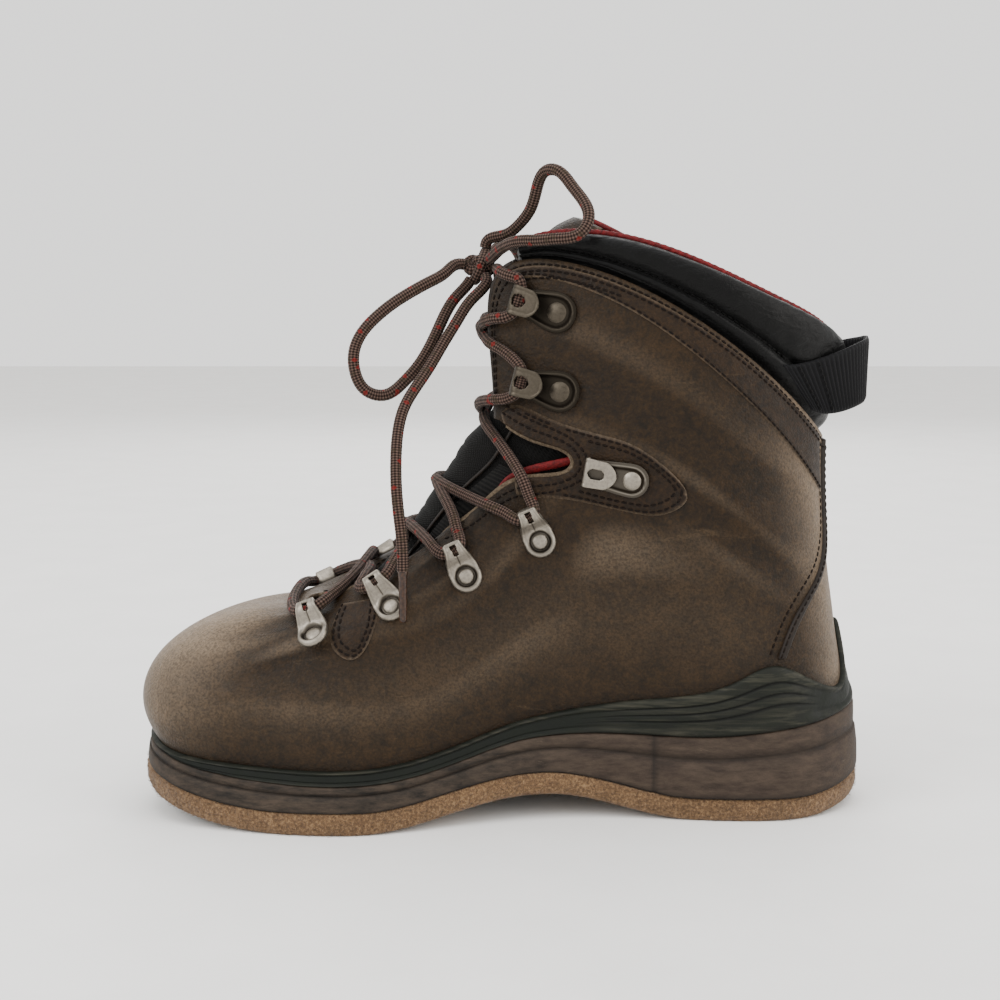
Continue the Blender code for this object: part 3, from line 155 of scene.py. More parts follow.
def boardSplines():
    station, medial, lateral, topX, topRise, topHalf, full, low, high = np.array(upperRows).T
    ball = last["ballWidth"]
    station, topX, topZ = station * last["length"], topX * last["length"], heightAt(topRise)
    medial, lateral, topY = medial * ball, lateral * ball, topHalf * last["collarWidth"]
    shape = np.stack([full, low * ball, high * ball], axis=1)
    feather = np.stack([allRound(station, station), allRound(-medial, lateral)], axis=1)
    top = np.stack([allRound(topX, topX), allRound(-topY, topY), allRound(topZ, topZ)], axis=1)
    return ringSpline(feather), ringSpline(top), ringSpline(allRound(shape, shape))


featherEdge, topEdge, sideShape = boardSplines()


def outline(line, margin=0.0):
    line = np.asarray(line, float)
    along = featherEdge(line + 0.02) - featherEdge(line - 0.02)
    along /= np.linalg.norm(along, axis=-1, keepdims=True)
    outwards = np.stack([along[..., 1], -along[..., 0]], axis=-1)
    return featherEdge(line) + outwards * np.asarray(margin, float)[..., None], outwards


def upperPoint(line, rise):
    line, rise = np.broadcast_arrays(np.asarray(line, float), np.asarray(rise, float))
    plan, outwards = outline(line)
    top, shape = topEdge(line), sideShape(line)
    lowEdge, full = seatHeight(plan[..., 0]) + last["gap"], shape[..., 0]
    near = (1 - full) * (1 - rise) + full * np.cos(rise * math.pi / 2)
    up = (1 - full) * rise + full * np.sin(rise * math.pi / 2)
    swell = 6.75 * rise * (1 - rise) * (shape[..., 1] * (1 - rise) + shape[..., 2] * rise)
    flat = top[..., :2] + (plan - top[..., :2]) * near[..., None] + outwards * swell[..., None]
    return np.concatenate([flat, (lowEdge + (top[..., 2] - lowEdge) * up)[..., None]], axis=-1)


def upperNormal(line, rise):
    line, rise = np.broadcast_arrays(np.asarray(line, float), np.asarray(rise, float))
    along = upperPoint(line + 0.01, rise) - upperPoint(line - 0.01, rise)
    upwards = upperPoint(line, np.clip(rise + 0.01, 0, 1)) - upperPoint(line, np.clip(rise - 0.01, 0, 1))
    normal = np.cross(along, upwards)
    return normal / np.linalg.norm(normal, axis=-1, keepdims=True)


def offUpper(line, rise, distance):
    return upperPoint(line, rise) + upperNormal(line, rise) * np.asarray(distance, float)[..., None]


def riseAt(line, height):
    rises = np.linspace(0, 1, 201)
    return float(np.interp(height, upperPoint(np.full(201, line), rises)[:, 2], rises))


def onSide(line, side):  # a line given on the medial side (-1), or its mirror on the lateral one (1)
    return line if side < 0 else lines - line


def riseBelowTop(line, depth):  # the rise that lies that far under the top edge, along the leather
    rises = np.linspace(0.6, 1, 81)
    steps = np.linalg.norm(np.diff(upperPoint(np.full(81, line), rises), axis=0), axis=1)
    left = np.concatenate([np.cumsum(steps[::-1])[::-1], [0]])
    return float(np.interp(-depth, -left, rises))


# Making meshes

def newMesh(name, points, faces, smooth=True):
    mesh = bpy.data.meshes.new(name)
    mesh.from_pydata([tuple(map(float, p)) for p in points], [], faces)
    mesh.update()
    mesh.polygons.foreach_set("use_smooth", [smooth] * len(mesh.polygons))
    thing = bpy.data.objects.new(name, mesh)
    bpy.context.scene.collection.objects.link(thing)
    return thing


def gridFaces(rows, columns, wrap=False, start=0):
    faces = []
    for r in range(rows - 1):
        for c in range(columns if wrap else columns - 1):
            k = (c + 1) % columns
            faces.append((start + r * columns + c, start + r * columns + k,
                          start + (r + 1) * columns + k, start + (r + 1) * columns + c))
    return faces


def outwardFaces(thing):
    shell = bmesh.new()
    shell.from_mesh(thing.data)
    bmesh.ops.recalc_face_normals(shell, faces=shell.faces)
    if shell.calc_volume(signed=True) < 0:
        bmesh.ops.reverse_faces(shell, faces=shell.faces)
    shell.to_mesh(thing.data)
    shell.free()
    return thing


def loft(name, sections, ring=False):  # a closed solid through closed sections, capped unless it is a ring
    sections = np.array(sections, float)
    rows, columns = sections.shape[:2]
    faces = gridFaces(rows, columns, wrap=True)
    if ring:
        faces += [((rows - 1) * columns + c, (rows - 1) * columns + (c + 1) % columns, (c + 1) % columns, c)
                  for c in range(columns)]
    else:
        faces += [tuple(range(columns)), tuple(reversed(range((rows - 1) * columns, rows * columns)))]
    return outwardFaces(newMesh(name, sections.reshape(-1, 3), faces))


def addShade(thing, name, values):  # one number a vertex, worked out from the form, that a material reads
    layer = thing.data.attributes.new(name, "FLOAT", "POINT")
    layer.data.foreach_set("value", np.asarray(values, float).ravel())


def frames(path):  # a steady pair of cross directions along a path
    path = np.array(path, float)
    along = np.gradient(path, axis=0)
    along /= np.linalg.norm(along, axis=1, keepdims=True)
    first = np.cross(along[0], (0.3, 0.2, 1.0))
    across = [first / np.linalg.norm(first)]
    for tangent in along[1:]:
        side = across[-1] - tangent * across[-1].dot(tangent)
        across.append(side / np.linalg.norm(side))
    across = np.array(across)
    return along, across, np.cross(along, across)


def sweep(name, path, radius, sides=16, flat=1.0, relief=None):
    # a round or flattened cord with a UV map: u is metres along it, v is turns round it
    path = np.array(path, float)
    along, across, other = frames(path)
    run = np.concatenate([[0], np.cumsum(np.linalg.norm(np.diff(path, axis=0), axis=1))])
    radii = np.broadcast_to(np.asarray(radius, float), len(path))
    turn = np.arange(sides) * 2 * math.pi / sides
    size = radii[:, None] * np.ones(sides)
    if relief:
        size = size + relief(run[:, None], turn[None, :])
    points = (path[:, None] + across[:, None] * (np.cos(turn) * size)[..., None]
              + other[:, None] * (np.sin(turn) * size * flat)[..., None])
    faces = gridFaces(len(path), sides, wrap=True)
    faces += [tuple(range(sides)), tuple(reversed(range((len(path) - 1) * sides, len(path) * sides)))]
    thing = newMesh(name, points.reshape(-1, 3), faces)
    layer = thing.data.uv_layers.new(name="along")
    uvs = []
    for face in thing.data.polygons:
        for k, corner in enumerate(face.vertices):
            row, column = divmod(corner, sides)
            late = len(face.vertices) == 4 and k in (1, 2) and column == 0
            uvs += [run[row], (column + (sides if late else 0)) / sides]
    layer.data.foreach_set("uv", uvs)
    return outwardFaces(thing)


def closedSheet(name, outer, inner):  # a closed solid between two grids of points, joined round their rim
    rows, columns = outer.shape[:2]
    total = rows * columns
    faces = gridFaces(rows, columns) + [tuple(reversed(f)) for f in gridFaces(rows, columns, start=total)]
    rim = (list(range(columns)) + [r * columns + columns - 1 for r in range(1, rows)]
           + [(rows - 1) * columns + c for c in range(columns - 2, -1, -1)]
           + [r * columns for r in range(rows - 2, 0, -1)])
    faces += [(a, total + a, total + b, b) for a, b in zip(rim, rim[1:] + rim[:1])]
    return outwardFaces(newMesh(name, np.concatenate([outer.reshape(-1, 3), inner.reshape(-1, 3)]), faces))


def joined(name, things):
    shell = bmesh.new()
    for thing in things:
        thing.data.transform(thing.matrix_world)
        shell.from_mesh(thing.data)
    materials = [m for thing in things for m in thing.data.materials]
    mesh = bpy.data.meshes.new(name)
    shell.to_mesh(mesh)
    shell.free()
    for thing in things:
        bpy.data.objects.remove(thing, do_unlink=True)
    for material in dict.fromkeys(materials):
        mesh.materials.append(material)
    whole = bpy.data.objects.new(name, mesh)
    bpy.context.scene.collection.objects.link(whole)
    return whole


def bake(thing):  # applies the modifiers
    graph = bpy.context.evaluated_depsgraph_get()
    bpy.context.view_layer.update()
    mesh = bpy.data.meshes.new_from_object(thing.evaluated_get(graph))
    thing.modifiers.clear()
    thing.data = mesh
    return thing


def carve(thing, tool):  # cuts the tool's form out of a piece
    cut = thing.modifiers.new("cut", "BOOLEAN")
    cut.object, cut.operation, cut.solver = tool, "DIFFERENCE", "EXACT"
    return bake(thing)


def searchTree(things):
    points, faces = [], []
    for thing in things:
        start = len(points)
        points += [thing.matrix_world @ v.co for v in thing.data.vertices]
        faces += [[start + k for k in face.vertices] for face in thing.data.polygons]
    return BVHTree.FromPolygons(points, faces)


def dress(thing, material, slot, *nodes):
    if material.name not in [m.name for m in thing.data.materials if m]:
        thing.data.materials.append(material)
    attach(thing, "root")
    if nodes:
        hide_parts(*nodes)
    return thing


# Camera, light and floor

view = {"place": (0, -0.683, 0.2265), "down": 7.7, "lens": 55.8, "sensor": 36}
lightTable = (  # name, place, aimed at, size in metres, watts, colour
    ("window", (-1.35, -0.85, 1.15), (-0.05, 0, 0.1), 1.2, 25, "#ffffff"),
    ("sky", (0.1, -0.2, 1.9), (0, 0, 0.1), 1.7, 18, "#fbfcff"),
    ("room", (1.5, -0.65, 0.75), (0.05, 0, 0.12), 1.2, 20, "#fffaf4"),
    ("behind", (0.1, 1.5, 1.1), (0, 0, 0.12), 1.3, 13, "#ffffff"),
)


def linear(code):  # an sRGB hex colour as Blender's linear one
    parts = [int(code[k:k + 2], 16) / 255 for k in (1, 3, 5)]
    return tuple([p / 12.92 if p <= 0.04045 else ((p + 0.055) / 1.055) ** 2.4 for p in parts] + [1.0])


def setCamera():
    data = bpy.data.cameras.new("camera")
    data.lens, data.sensor_width, data.clip_start = view["lens"], view["sensor"], 0.01
    camera = bpy.data.objects.new("camera", data)
    camera.location = view["place"]
    camera.rotation_euler = (math.radians(90 - view["down"]), 0, 0)
    bpy.context.scene.collection.objects.link(camera)
    bpy.context.scene.camera = camera


def setLights():
    for name, place, aim, size, watts, colour in lightTable:
        data = bpy.data.lights.new(name, "AREA")
        data.size, data.energy, data.color = size, watts, linear(colour)[:3]
        lamp = bpy.data.objects.new(name, data)
        lamp.location = place
        lamp.rotation_euler = (Vector(aim) - Vector(place)).to_track_quat("-Z", "Y").to_euler()
        bpy.context.scene.collection.objects.link(lamp)
    world = bpy.data.worlds.new("room")
    bpy.context.scene.world = world
    world.use_nodes = True
    world.node_tree.nodes["Background"].inputs["Color"].default_value = linear("#f1f0ee")
    world.node_tree.nodes["Background"].inputs["Strength"].default_value = 1.8


# Materials

def addNode(tree, kind, sockets=None, stops=None, out=0, **settings):
    node = tree.nodes.new("ShaderNode" + kind)
    for key, value in settings.items():
        setattr(node, key, value)
    for key, value in (sockets or {}).items():
        if isinstance(value, bpy.types.NodeSocket):
            tree.links.new(value, node.inputs[key])
        else:
            node.inputs[key].default_value = linear(value) if isinstance(value, str) else value
    if stops:
        elements = node.color_ramp.elements
        while len(elements) < len(stops):
            elements.new(0.5)
        for element, (place, code) in zip(elements, stops):
            element.position = place
            element.color = linear(code) if isinstance(code, str) else (code, code, code, 1)
    return node.outputs[out]


def startMaterial(name, **sockets):
    material = bpy.data.materials.new(name)
    material.use_nodes = True
    for key, value in sockets.items():
        material.node_tree.nodes["Principled BSDF"].inputs[key.replace("_", " ")].default_value = value
    add = partial(addNode, material.node_tree)
    return material, add, add("TexCoord", out="Object")  # patterns are fixed to the boot, in metres


def finish(material, colour, layers=(), rough=None, bumps=()):
    # coats of colour laid over the first, then roughness and bumps with their depths in millimetres
    tree = material.node_tree
    shader = tree.nodes["Principled BSDF"]
    for share, tint in layers:
        colour = addNode(tree, "Mix", {0: share, 6: colour, 7: tint}, out=2, data_type="RGBA")
    tree.links.new(colour, shader.inputs["Base Color"])
    if rough is not None:
        tree.links.new(rough, shader.inputs["Roughness"])
    normal = None
    for height, depth in bumps:
        sockets = {"Height": height, "Distance": depth * mm, "Strength": 1.0}
        if normal:
            sockets["Normal"] = normal
        normal = addNode(tree, "Bump", sockets)
    if normal:
        tree.links.new(normal, shader.inputs["Normal"])
    return material


def waxedLeather(name, dark, middle, light):
    # full-grain cowhide, drum dyed and hand waxed: a satin skin with cloudy wax bloom, pale where it has
    # been rubbed and where a painted highlight stands in for its sheen, fine pebbles and a few long
    # scratches
    material, add, place = startMaterial(name, Specular_IOR_Level=0.13, Coat_Weight=0.03,
                                         Coat_Roughness=0.42)
    clouds = add("TexNoise", {"Vector": place, "Scale": 1 / (26 * mm), "Detail": 7, "Roughness": 0.66,
                              "Distortion": 0.5})
    colour = add("ValToRGB", {0: clouds}, ((0.30, dark), (0.50, middle), (0.72, light)))
    flecks = add("TexNoise", {"Vector": place, "Scale": 1 / (2.6 * mm), "Detail": 5, "Roughness": 0.7})
    flecks = add("ValToRGB", {0: flecks}, ((0.36, 0.0), (0.62, 0.85)))
    drawn = add("Mapping", {"Vector": place, "Scale": (0.18, 1, 1.5)})
    scratches = add("TexNoise", {"Vector": drawn, "Scale": 1 / (9 * mm), "Detail": 6, "Roughness": 0.72,
                                 "Distortion": 1.4})
    scratches = add("ValToRGB", {0: scratches}, ((0.62, 0.0), (0.80, 0.55)))
    mottle = add("TexNoise", {"Vector": place, "Scale": 1 / (6 * mm), "Detail": 5, "Roughness": 0.7,
                              "Distortion": 0.8})
    mottle = add("ValToRGB", {0: mottle}, ((0.32, 0.75), (0.50, 0.0)))
    # the pale coat: rubbed wear, and a painted highlight for the wax's sheen at the toe and the heel, in
    # patches
    paleness = add("Math", {0: clouds, 1: 0.5, 2: 0.52}, operation="MULTIPLY_ADD")
    wear_and_sheen = add("Attribute", attribute_name="wear_and_sheen", out="Fac")
    wear_and_sheen = add("Math", {0: wear_and_sheen, 1: paleness}, operation="MULTIPLY")
    pits = add("TexNoise", {"Vector": place, "Scale": 1 / (1.1 * mm), "Detail": 3, "Roughness": 0.6})
    dots = add("ValToRGB", {0: pits}, ((0.36, 0.5), (0.60, 0.0)))
    # the near-black coat: a dark strip by the notch, dark overlay rims, darker just above the rand, and
    # painted shade in crease hollows
    grime_and_shade = add("Attribute", attribute_name="grime_and_shade", out="Fac")
    grime_and_shade = add("Math", {0: grime_and_shade, 1: 0.8}, operation="MULTIPLY")
    wax = add("TexNoise", {"Vector": place, "Scale": 1 / (5 * mm), "Detail": 5, "Roughness": 0.6})
    wax = add("ValToRGB", {0: wax}, ((0.25, 0.40), (0.75, 0.60)))
    waves = add("TexNoise", {"Vector": place, "Scale": 1 / (9 * mm), "Detail": 3, "Roughness": 0.5})
    # the pebbles are really 0.5 mm wide, drawn coarser so as to show
    pebbles = add("TexVoronoi", {"Vector": place, "Scale": 1 / (0.95 * mm)})
    hair = add("TexNoise", {"Vector": place, "Scale": 1 / (0.5 * mm), "Detail": 4, "Roughness": 0.7})
    coats = ((flecks, light), (scratches, "#5e4c37"), (mottle, dark), (wear_and_sheen, "#8c7a66"), (dots, dark),
             (grime_and_shade, "#0a0603"))
    return finish(material, colour, coats, wax, ((waves, 0.35), (pebbles, 0.16), (pits, 0.34), (hair, 0.05)))


# Materials of one colour texture and one bump texture: settings of the shader, the colour's grain and
# stops, the bump's grain and depth in mm. A grain is size in mm, detail (0 for cells) and roughness
plainTable = {
    # the raw edge of split leather: pale, matt and fibrous
    "leatherCutEdgeRaw": ({"Roughness": 0.9, "Specular_IOR_Level": 0.2}, (1.1, 5, 0.7),
                          ((0.3, "#2f261d"), (0.55, "#544839"), (0.8, "#73675a")), (0.4, 4, 0.7), 0.12),
    # leather folded over and pressed: near black brown, a little glossy
    "leatherFoldedBinding": ({"Roughness": 0.5, "Specular_IOR_Level": 0.2}, (3, 5, 0.65),
                             ((0.3, "#0c0805"), (0.7, "#20160e")), (0.8, 4, 0.6), 0.10),
    # twisted red cord in a woven cover
    "cordPipingWoven": ({"Roughness": 0.66, "Specular_IOR_Level": 0.2}, (1.6, 4, 0.7),
                        ((0.3, "#300607"), (0.7, "#6a1013")), (0.8, 0, 0.5), 0.18),
    # clear acetate film shrunk on the lace: the brown braid shows through a glossy skin
    "acetateFilmTip": ({"Roughness": 0.3, "Specular_IOR_Level": 0.2, "Coat_Weight": 0.25,
                        "Coat_Roughness": 0.12}, (1.1, 0, 0.5),
                       ((0.1, "#3a2517"), (0.8, "#1b0f08")), (3, 3, 0.5), 0.25),
    # brushed polyester knit: dark grey, soft, with small loops
    "polyesterBrushedKnit": ({"Roughness": 0.92, "Sheen_Weight": 0.1, "Sheen_Roughness": 0.5}, (1.4, 0, 0.5),
                             ((0.1, "#2a2725"), (0.8, "#121110")), (1.4, 0, 0.5), 0.25),
    # bonded polyester threads, twisted: a slight gloss on each stitch
    "threadBondedBrown": ({"Roughness": 0.6, "Specular_IOR_Level": 0.1}, (1.0, 3, 0.6),
                          ((0.3, "#070504"), (0.7, "#150b05")), (1.0, 3, 0.6), 0.08),
    "threadBondedBlack": ({"Roughness": 0.6, "Specular_IOR_Level": 0.1}, (1.0, 3, 0.6),
                          ((0.3, "#040404"), (0.7, "#0b0a0a")), (1.0, 3, 0.6), 0.08),
    # painted board, rolled: pale, matt, almost even
    "paintedBoardRolled": ({"Roughness": 0.85, "Specular_IOR_Level": 0.2}, (60, 4, 0.6),
                           ((0.3, "#e2e1df"), (0.7, "#e7e6e4")), None, 0.0),
}


def plainMaterial(name):
    sockets, grain, stops, bumpGrain, depth = plainTable[name]
    material, add, place = startMaterial(name, **sockets)
    textures = [add("TexNoise" if detail else "TexVoronoi", {"Vector": place, "Scale": 1 / (size * mm),
                                                             "Detail": detail, "Roughness": rough})
                for size, detail, rough in filter(None, (grain, bumpGrain))]
    colour = add("ValToRGB", {0: textures[0]}, stops)
    return finish(material, colour, bumps=[(texture, depth) for texture in textures[1:]])


def satinFoamCloth():  # coated nylon over foam: a smooth black satin with fine creases and dust in them
    material, add, place = startMaterial("nylonCoatedSatin", Specular_IOR_Level=0.11, Sheen_Weight=0.03,
                                         Sheen_Roughness=0.5)
    tone = add("TexNoise", {"Vector": place, "Scale": 1 / (14 * mm), "Detail": 6, "Roughness": 0.65})
    colour = add("ValToRGB", {0: tone}, ((0.3, "#020202"), (0.7, "#050505")))
    dust = add("TexNoise", {"Vector": place, "Scale": 1 / (1.7 * mm), "Detail": 6, "Roughness": 0.75})
    dust = add("ValToRGB", {0: dust}, ((0.60, 0.0), (0.82, 0.35)))
    gloss = add("TexNoise", {"Vector": place, "Scale": 1 / (7 * mm), "Detail": 5, "Roughness": 0.6})
    gloss = add("ValToRGB", {0: gloss}, ((0.3, 0.30), (0.7, 0.52)))
    drawn = add("Mapping", {"Vector": place, "Scale": (1, 1, 2.2)})
    creased = add("TexNoise", {"Vector": drawn, "Scale": 1 / (11 * mm), "Detail": 5, "Roughness": 0.6,
                               "Distortion": 1.2})
    coating = add("TexVoronoi", {"Vector": place, "Scale": 1 / (0.9 * mm)})
    return finish(material, colour, ((dust, "#17191c"),), gloss, ((creased, 0.9), (coating, 0.04)))


def wovenCloth():
    # nylon packcloth: a plain weave of threads drawn 1.3 mm apart, coarser than the real 0.6 mm
    material, add, place = startMaterial("nylonPackclothWoven", Roughness=0.75, Specular_IOR_Level=0.12,
                                         Sheen_Weight=0.02, Sheen_Roughness=0.4)
    turns = 2 * math.pi / (1.3 * mm)
    parts = add("SeparateXYZ", {0: place}).node.outputs
    warp = add("Math", {0: parts["Y"], 1: turns}, operation="MULTIPLY")
    warp = add("Math", {0: warp}, operation="SINE")
    weft = add("Math", {0: parts["X"], 1: parts["Z"]}, operation="ADD")
    weft = add("Math", {0: weft, 1: turns * 0.75}, operation="MULTIPLY")
    weft = add("Math", {0: weft}, operation="SINE")
    weave = add("Math", {0: warp, 1: weft}, operation="MULTIPLY")
    shown = add("Math", {0: weave, 1: 0.5, 2: 0.5}, operation="MULTIPLY_ADD")
    # thread crests painted lighter and the gaps darker: a painted highlight and shade following the weave
    colour = add("ValToRGB", {0: shown}, ((0.2, "#020201"), (0.8, "#080706")))
    slack = add("TexNoise", {"Vector": place, "Scale": 1 / (9 * mm), "Detail": 4, "Roughness": 0.6})
    faded = add("ValToRGB", {0: slack}, ((0.3, 0.0), (0.7, 0.3)))
    return finish(material, colour, ((faded, "#12100f"),), bumps=((weave, 0.14), (slack, 0.5)))


def ribbedWebbing(name, dark, light):  # woven polyester tape: its ribs are in the mesh, threads in the bump
    material, add, place = startMaterial(name, Roughness=0.7, Specular_IOR_Level=0.12, Sheen_Weight=0.02,
                                         Sheen_Roughness=0.4)
    ribs = add("Attribute", attribute_name="rib", out="Fac")
    # rib crests painted lighter and troughs darker: a painted highlight and shade following the ribs in the
    # mesh
    colour = add("ValToRGB", {0: ribs}, ((0.0, dark), (1.0, light)))
    fuzz = add("TexNoise", {"Vector": place, "Scale": 1 / (1.2 * mm), "Detail": 4, "Roughness": 0.7})
    fuzz = add("ValToRGB", {0: fuzz}, ((0.3, 0.1), (0.7, 0.4)))
    threads = add("TexVoronoi", {"Vector": place, "Scale": 1 / (0.7 * mm)})
    return finish(material, colour, ((fuzz, dark),), bumps=((threads, 0.10),))


def braidedLace():
    # 16-plait polyester: brown yarns with a few red flecks; ten picks in 11.2 mm of cord and ten round it,
    # so each is about 1.1 mm long, as in the photograph
    material, add, place = startMaterial("polyesterBraidLace", Roughness=0.8, Specular_IOR_Level=0.12,
                                         Sheen_Weight=0.04, Sheen_Roughness=0.4)
    route = add("UVMap", uv_map="along")
    parts = add("SeparateXYZ", {0: route}).node.outputs
    along = add("Math", {0: parts["X"], 1: 5 / (11.2 * mm)}, operation="MULTIPLY")
    around = add("Math", {0: parts["Y"], 1: 5.0}, operation="MULTIPLY")
    yarns, waves = [], []
    for way in ("ADD", "SUBTRACT"):  # yarns that run to the right, and yarns that run to the left
        yarn = add("Math", {0: along, 1: around}, operation=way)
        wave = add("Math", {0: yarn, 1: 2 * math.pi}, operation="MULTIPLY")
        waves.append(add("Math", {0: wave}, operation="SINE"))
        yarns.append(add("Math", {0: yarn}, operation="FLOOR"))
    picks = add("Math", {0: waves[0], 1: waves[1]}, operation="MULTIPLY")
    shown = add("Math", {0: picks, 1: 0.5, 2: 0.5}, operation="MULTIPLY_ADD")
    # the picks' crests are painted lighter and the gaps between them darker: a painted highlight and shade
    # following the bump
    colour = add("ValToRGB", {0: shown}, ((0.10, "#0c0705"), (0.45, "#2e211b"), (0.90, "#57463e")))
    pick = add("CombineXYZ", {0: yarns[0], 1: yarns[1]})
    chance = add("TexWhiteNoise", {"Vector": pick}, noise_dimensions="2D")
    red = add("ValToRGB", {0: chance}, ((0.965, 0.0), (0.97, 0.7)))
    dim = add("ValToRGB", {0: chance}, ((0.10, 0.5), (0.12, 0.0)))
    fuzz = add("TexNoise", {"Vector": place, "Scale": 1 / (0.6 * mm), "Detail": 3, "Roughness": 0.6})
    coats = ((red, "#66110f"), (dim, "#2d261a"))
    return finish(material, colour, coats, bumps=((picks, 0.22), (fuzz, 0.12)))


def agedNickel(name, light, dark):
    # nickel-plated zinc, tumbled, then darkened: matt and pale on the crowns, brown-black in hollows
    material, add, place = startMaterial(name, Metallic=1.0)
    stain = add("TexNoise", {"Vector": place, "Scale": 1 / (1.3 * mm), "Detail": 5, "Roughness": 0.7})
    stain = add("ValToRGB", {0: stain}, ((0.35, 0.0), (0.75, 0.45)))
    hollow = add("Attribute", attribute_name="hollow", out="Fac")
    hollow = add("Math", {0: hollow, 1: stain}, operation="MAXIMUM")
    colour = add("Mix", {0: hollow, 6: light, 7: dark}, out=2, data_type="RGBA")
    tumbled = add("TexNoise", {"Vector": place, "Scale": 1 / (0.9 * mm), "Detail": 4, "Roughness": 0.7})
    rough = add("ValToRGB", {0: tumbled}, ((0.3, 0.38), (0.7, 0.54)))
    return finish(material, colour, rough=rough, bumps=((tumbled, 0.05),))


def pressedFelt():  # wool and polyester felt, sanded: tan, matt, with curling fibres and trodden dirt
    material, add, place = startMaterial("woolFeltSanded", Roughness=0.97, Specular_IOR_Level=0.15,
                                         Sheen_Weight=0.12, Sheen_Roughness=0.6)
    nap = add("TexNoise", {"Vector": place, "Scale": 1 / (1.2 * mm), "Detail": 6, "Roughness": 0.75})
    colour = add("ValToRGB", {0: nap}, ((0.30, "#2c1e12"), (0.5, "#634a31"), (0.72, "#977a57")))
    dirt = add("TexNoise", {"Vector": place, "Scale": 1 / (13 * mm), "Detail": 5, "Roughness": 0.7})
    dirt = add("ValToRGB", {0: dirt}, ((0.45, 0.0), (0.75, 0.55)))
    lumps = add("TexNoise", {"Vector": place, "Scale": 1 / (4 * mm), "Detail": 3, "Roughness": 0.6})
    return finish(material, colour, ((dirt, "#3f2f1e"),), bumps=((nap, 0.9), (lumps, 0.6)))


def blockRubber():  # compression-moulded rubber, buffed on its side: dusty grey-brown, dark at the ball
    material, add, place = startMaterial("rubberMouldedBuffed", Specular_IOR_Level=0.2)
    front = add("Attribute", attribute_name="front", out="Fac")
    colour = add("Mix", {0: front, 6: "#241b15", 7: "#14100c"}, out=2, data_type="RGBA")
    drawn = add("Mapping", {"Vector": place, "Scale": (0.4, 1, 1.6)})
    dust = add("TexNoise", {"Vector": drawn, "Scale": 1 / (5 * mm), "Detail": 6, "Roughness": 0.72})
    clouds = add("ValToRGB", {0: dust}, ((0.35, 0.0), (0.66, 0.6)))
    scuffs = add("TexNoise", {"Vector": drawn, "Scale": 1 / (3 * mm), "Detail": 6, "Roughness": 0.8,
                              "Distortion": 1.0})
    scuffs = add("ValToRGB", {0: scuffs}, ((0.62, 0.0), (0.78, 0.6)))
    # the near-black coat: painted shade under the ledge and in the step groove, and darker at the join with
    # the felt
    grime_and_shade = add("Attribute", attribute_name="grime_and_shade", out="Fac")
    grime_and_shade = add("Math", {0: grime_and_shade, 1: 0.75}, operation="MULTIPLY")
    rough = add("ValToRGB", {0: dust}, ((0.3, 0.62), (0.7, 0.84)))
    buffed = add("TexNoise", {"Vector": drawn, "Scale": 1 / (2.4 * mm), "Detail": 5, "Roughness": 0.7})
    skin = add("TexVoronoi", {"Vector": place, "Scale": 1 / (0.7 * mm)})
    return finish(material, colour, ((clouds, "#4a3f35"), (scuffs, "#6b5f50"), (grime_and_shade, "#0b0908")), rough,
                  ((buffed, 0.25), (skin, 0.05)))


def randRubber():  # moulded rubber foxing: green-black, semi-matt, lip and wing's ridges rubbed pale
    material, add, place = startMaterial("rubberMouldedFoxing", Specular_IOR_Level=0.16)
    tone = add("TexNoise", {"Vector": place, "Scale": 1 / (9 * mm), "Detail": 6, "Roughness": 0.7})
    colour = add("ValToRGB", {0: tone}, ((0.3, "#070a07"), (0.7, "#10140e")))
    drawn = add("Mapping", {"Vector": place, "Scale": (0.12, 1, 2.2)})
    scuffs = add("TexNoise", {"Vector": drawn, "Scale": 1 / (4.5 * mm), "Detail": 4, "Roughness": 0.65,
                              "Distortion": 0.4})
    scuffs = add("ValToRGB", {0: scuffs}, ((0.46, 0.05), (0.78, 0.55)))
    wear_and_sheen = add("Attribute", attribute_name="wear_and_sheen", out="Fac")
    wear_and_sheen = add("Math", {0: wear_and_sheen, 1: scuffs}, operation="MULTIPLY")
    # the near-black coat: painted shade in the wing's grooves, and darker along the bottom edge
    grime_and_shade = add("Attribute", attribute_name="grime_and_shade", out="Fac")
    rough = add("ValToRGB", {0: tone}, ((0.3, 0.48), (0.7, 0.72)))
    skin = add("TexNoise", {"Vector": place, "Scale": 1 / (1.6 * mm), "Detail": 4, "Roughness": 0.6})
    coats = ((wear_and_sheen, "#4d4a3e"), (grime_and_shade, "#050604"))
    return finish(material, colour, coats, rough, ((skin, 0.10), (tone, 0.4)))


leather = waxedLeather("cowhideWaxedSmooth", "#0d0803", "#1a1107", "#2c1e0d")
trimLeather = waxedLeather("cowhideWaxedOverlay", "#0d0703", "#191007", "#2a1c0d")
rawEdge, binding = plainMaterial("leatherCutEdgeRaw"), plainMaterial("leatherFoldedBinding")
padCloth, tongueCloth = satinFoamCloth(), wovenCloth()
tape = ribbedWebbing("polyesterTapeWoven", "#020203", "#0e0e11")
greyTape = ribbedWebbing("polyesterTapeGrey", "#040404", "#1b1917")
laceBraid, piping, tipFilm = braidedLace(), plainMaterial("cordPipingWoven"), plainMaterial("acetateFilmTip")
ringNickel = agedNickel("nickelCastTumbled", "#8f887d", "#1b1611")
hookNickel = agedNickel("nickelStampedDarkened", "#4c463d", "#120f0c")
felt, midRubber, foxing = pressedFelt(), blockRubber(), randRubber()
lining, brownThread, blackThread = (plainMaterial(name) for name in (
    "polyesterBrushedKnit", "threadBondedBrown", "threadBondedBlack"))

setCamera()
setLights()
floor = newMesh("floor", [(-4, -4, 0), (4, -4, 0), (4, 4, 0), (-4, 4, 0)], [(0, 1, 2, 3)])
floor.data.materials.append(plainMaterial("paintedBoardRolled"))
print("camera, light, floor and materials made")


# Sole: felt, block and rand

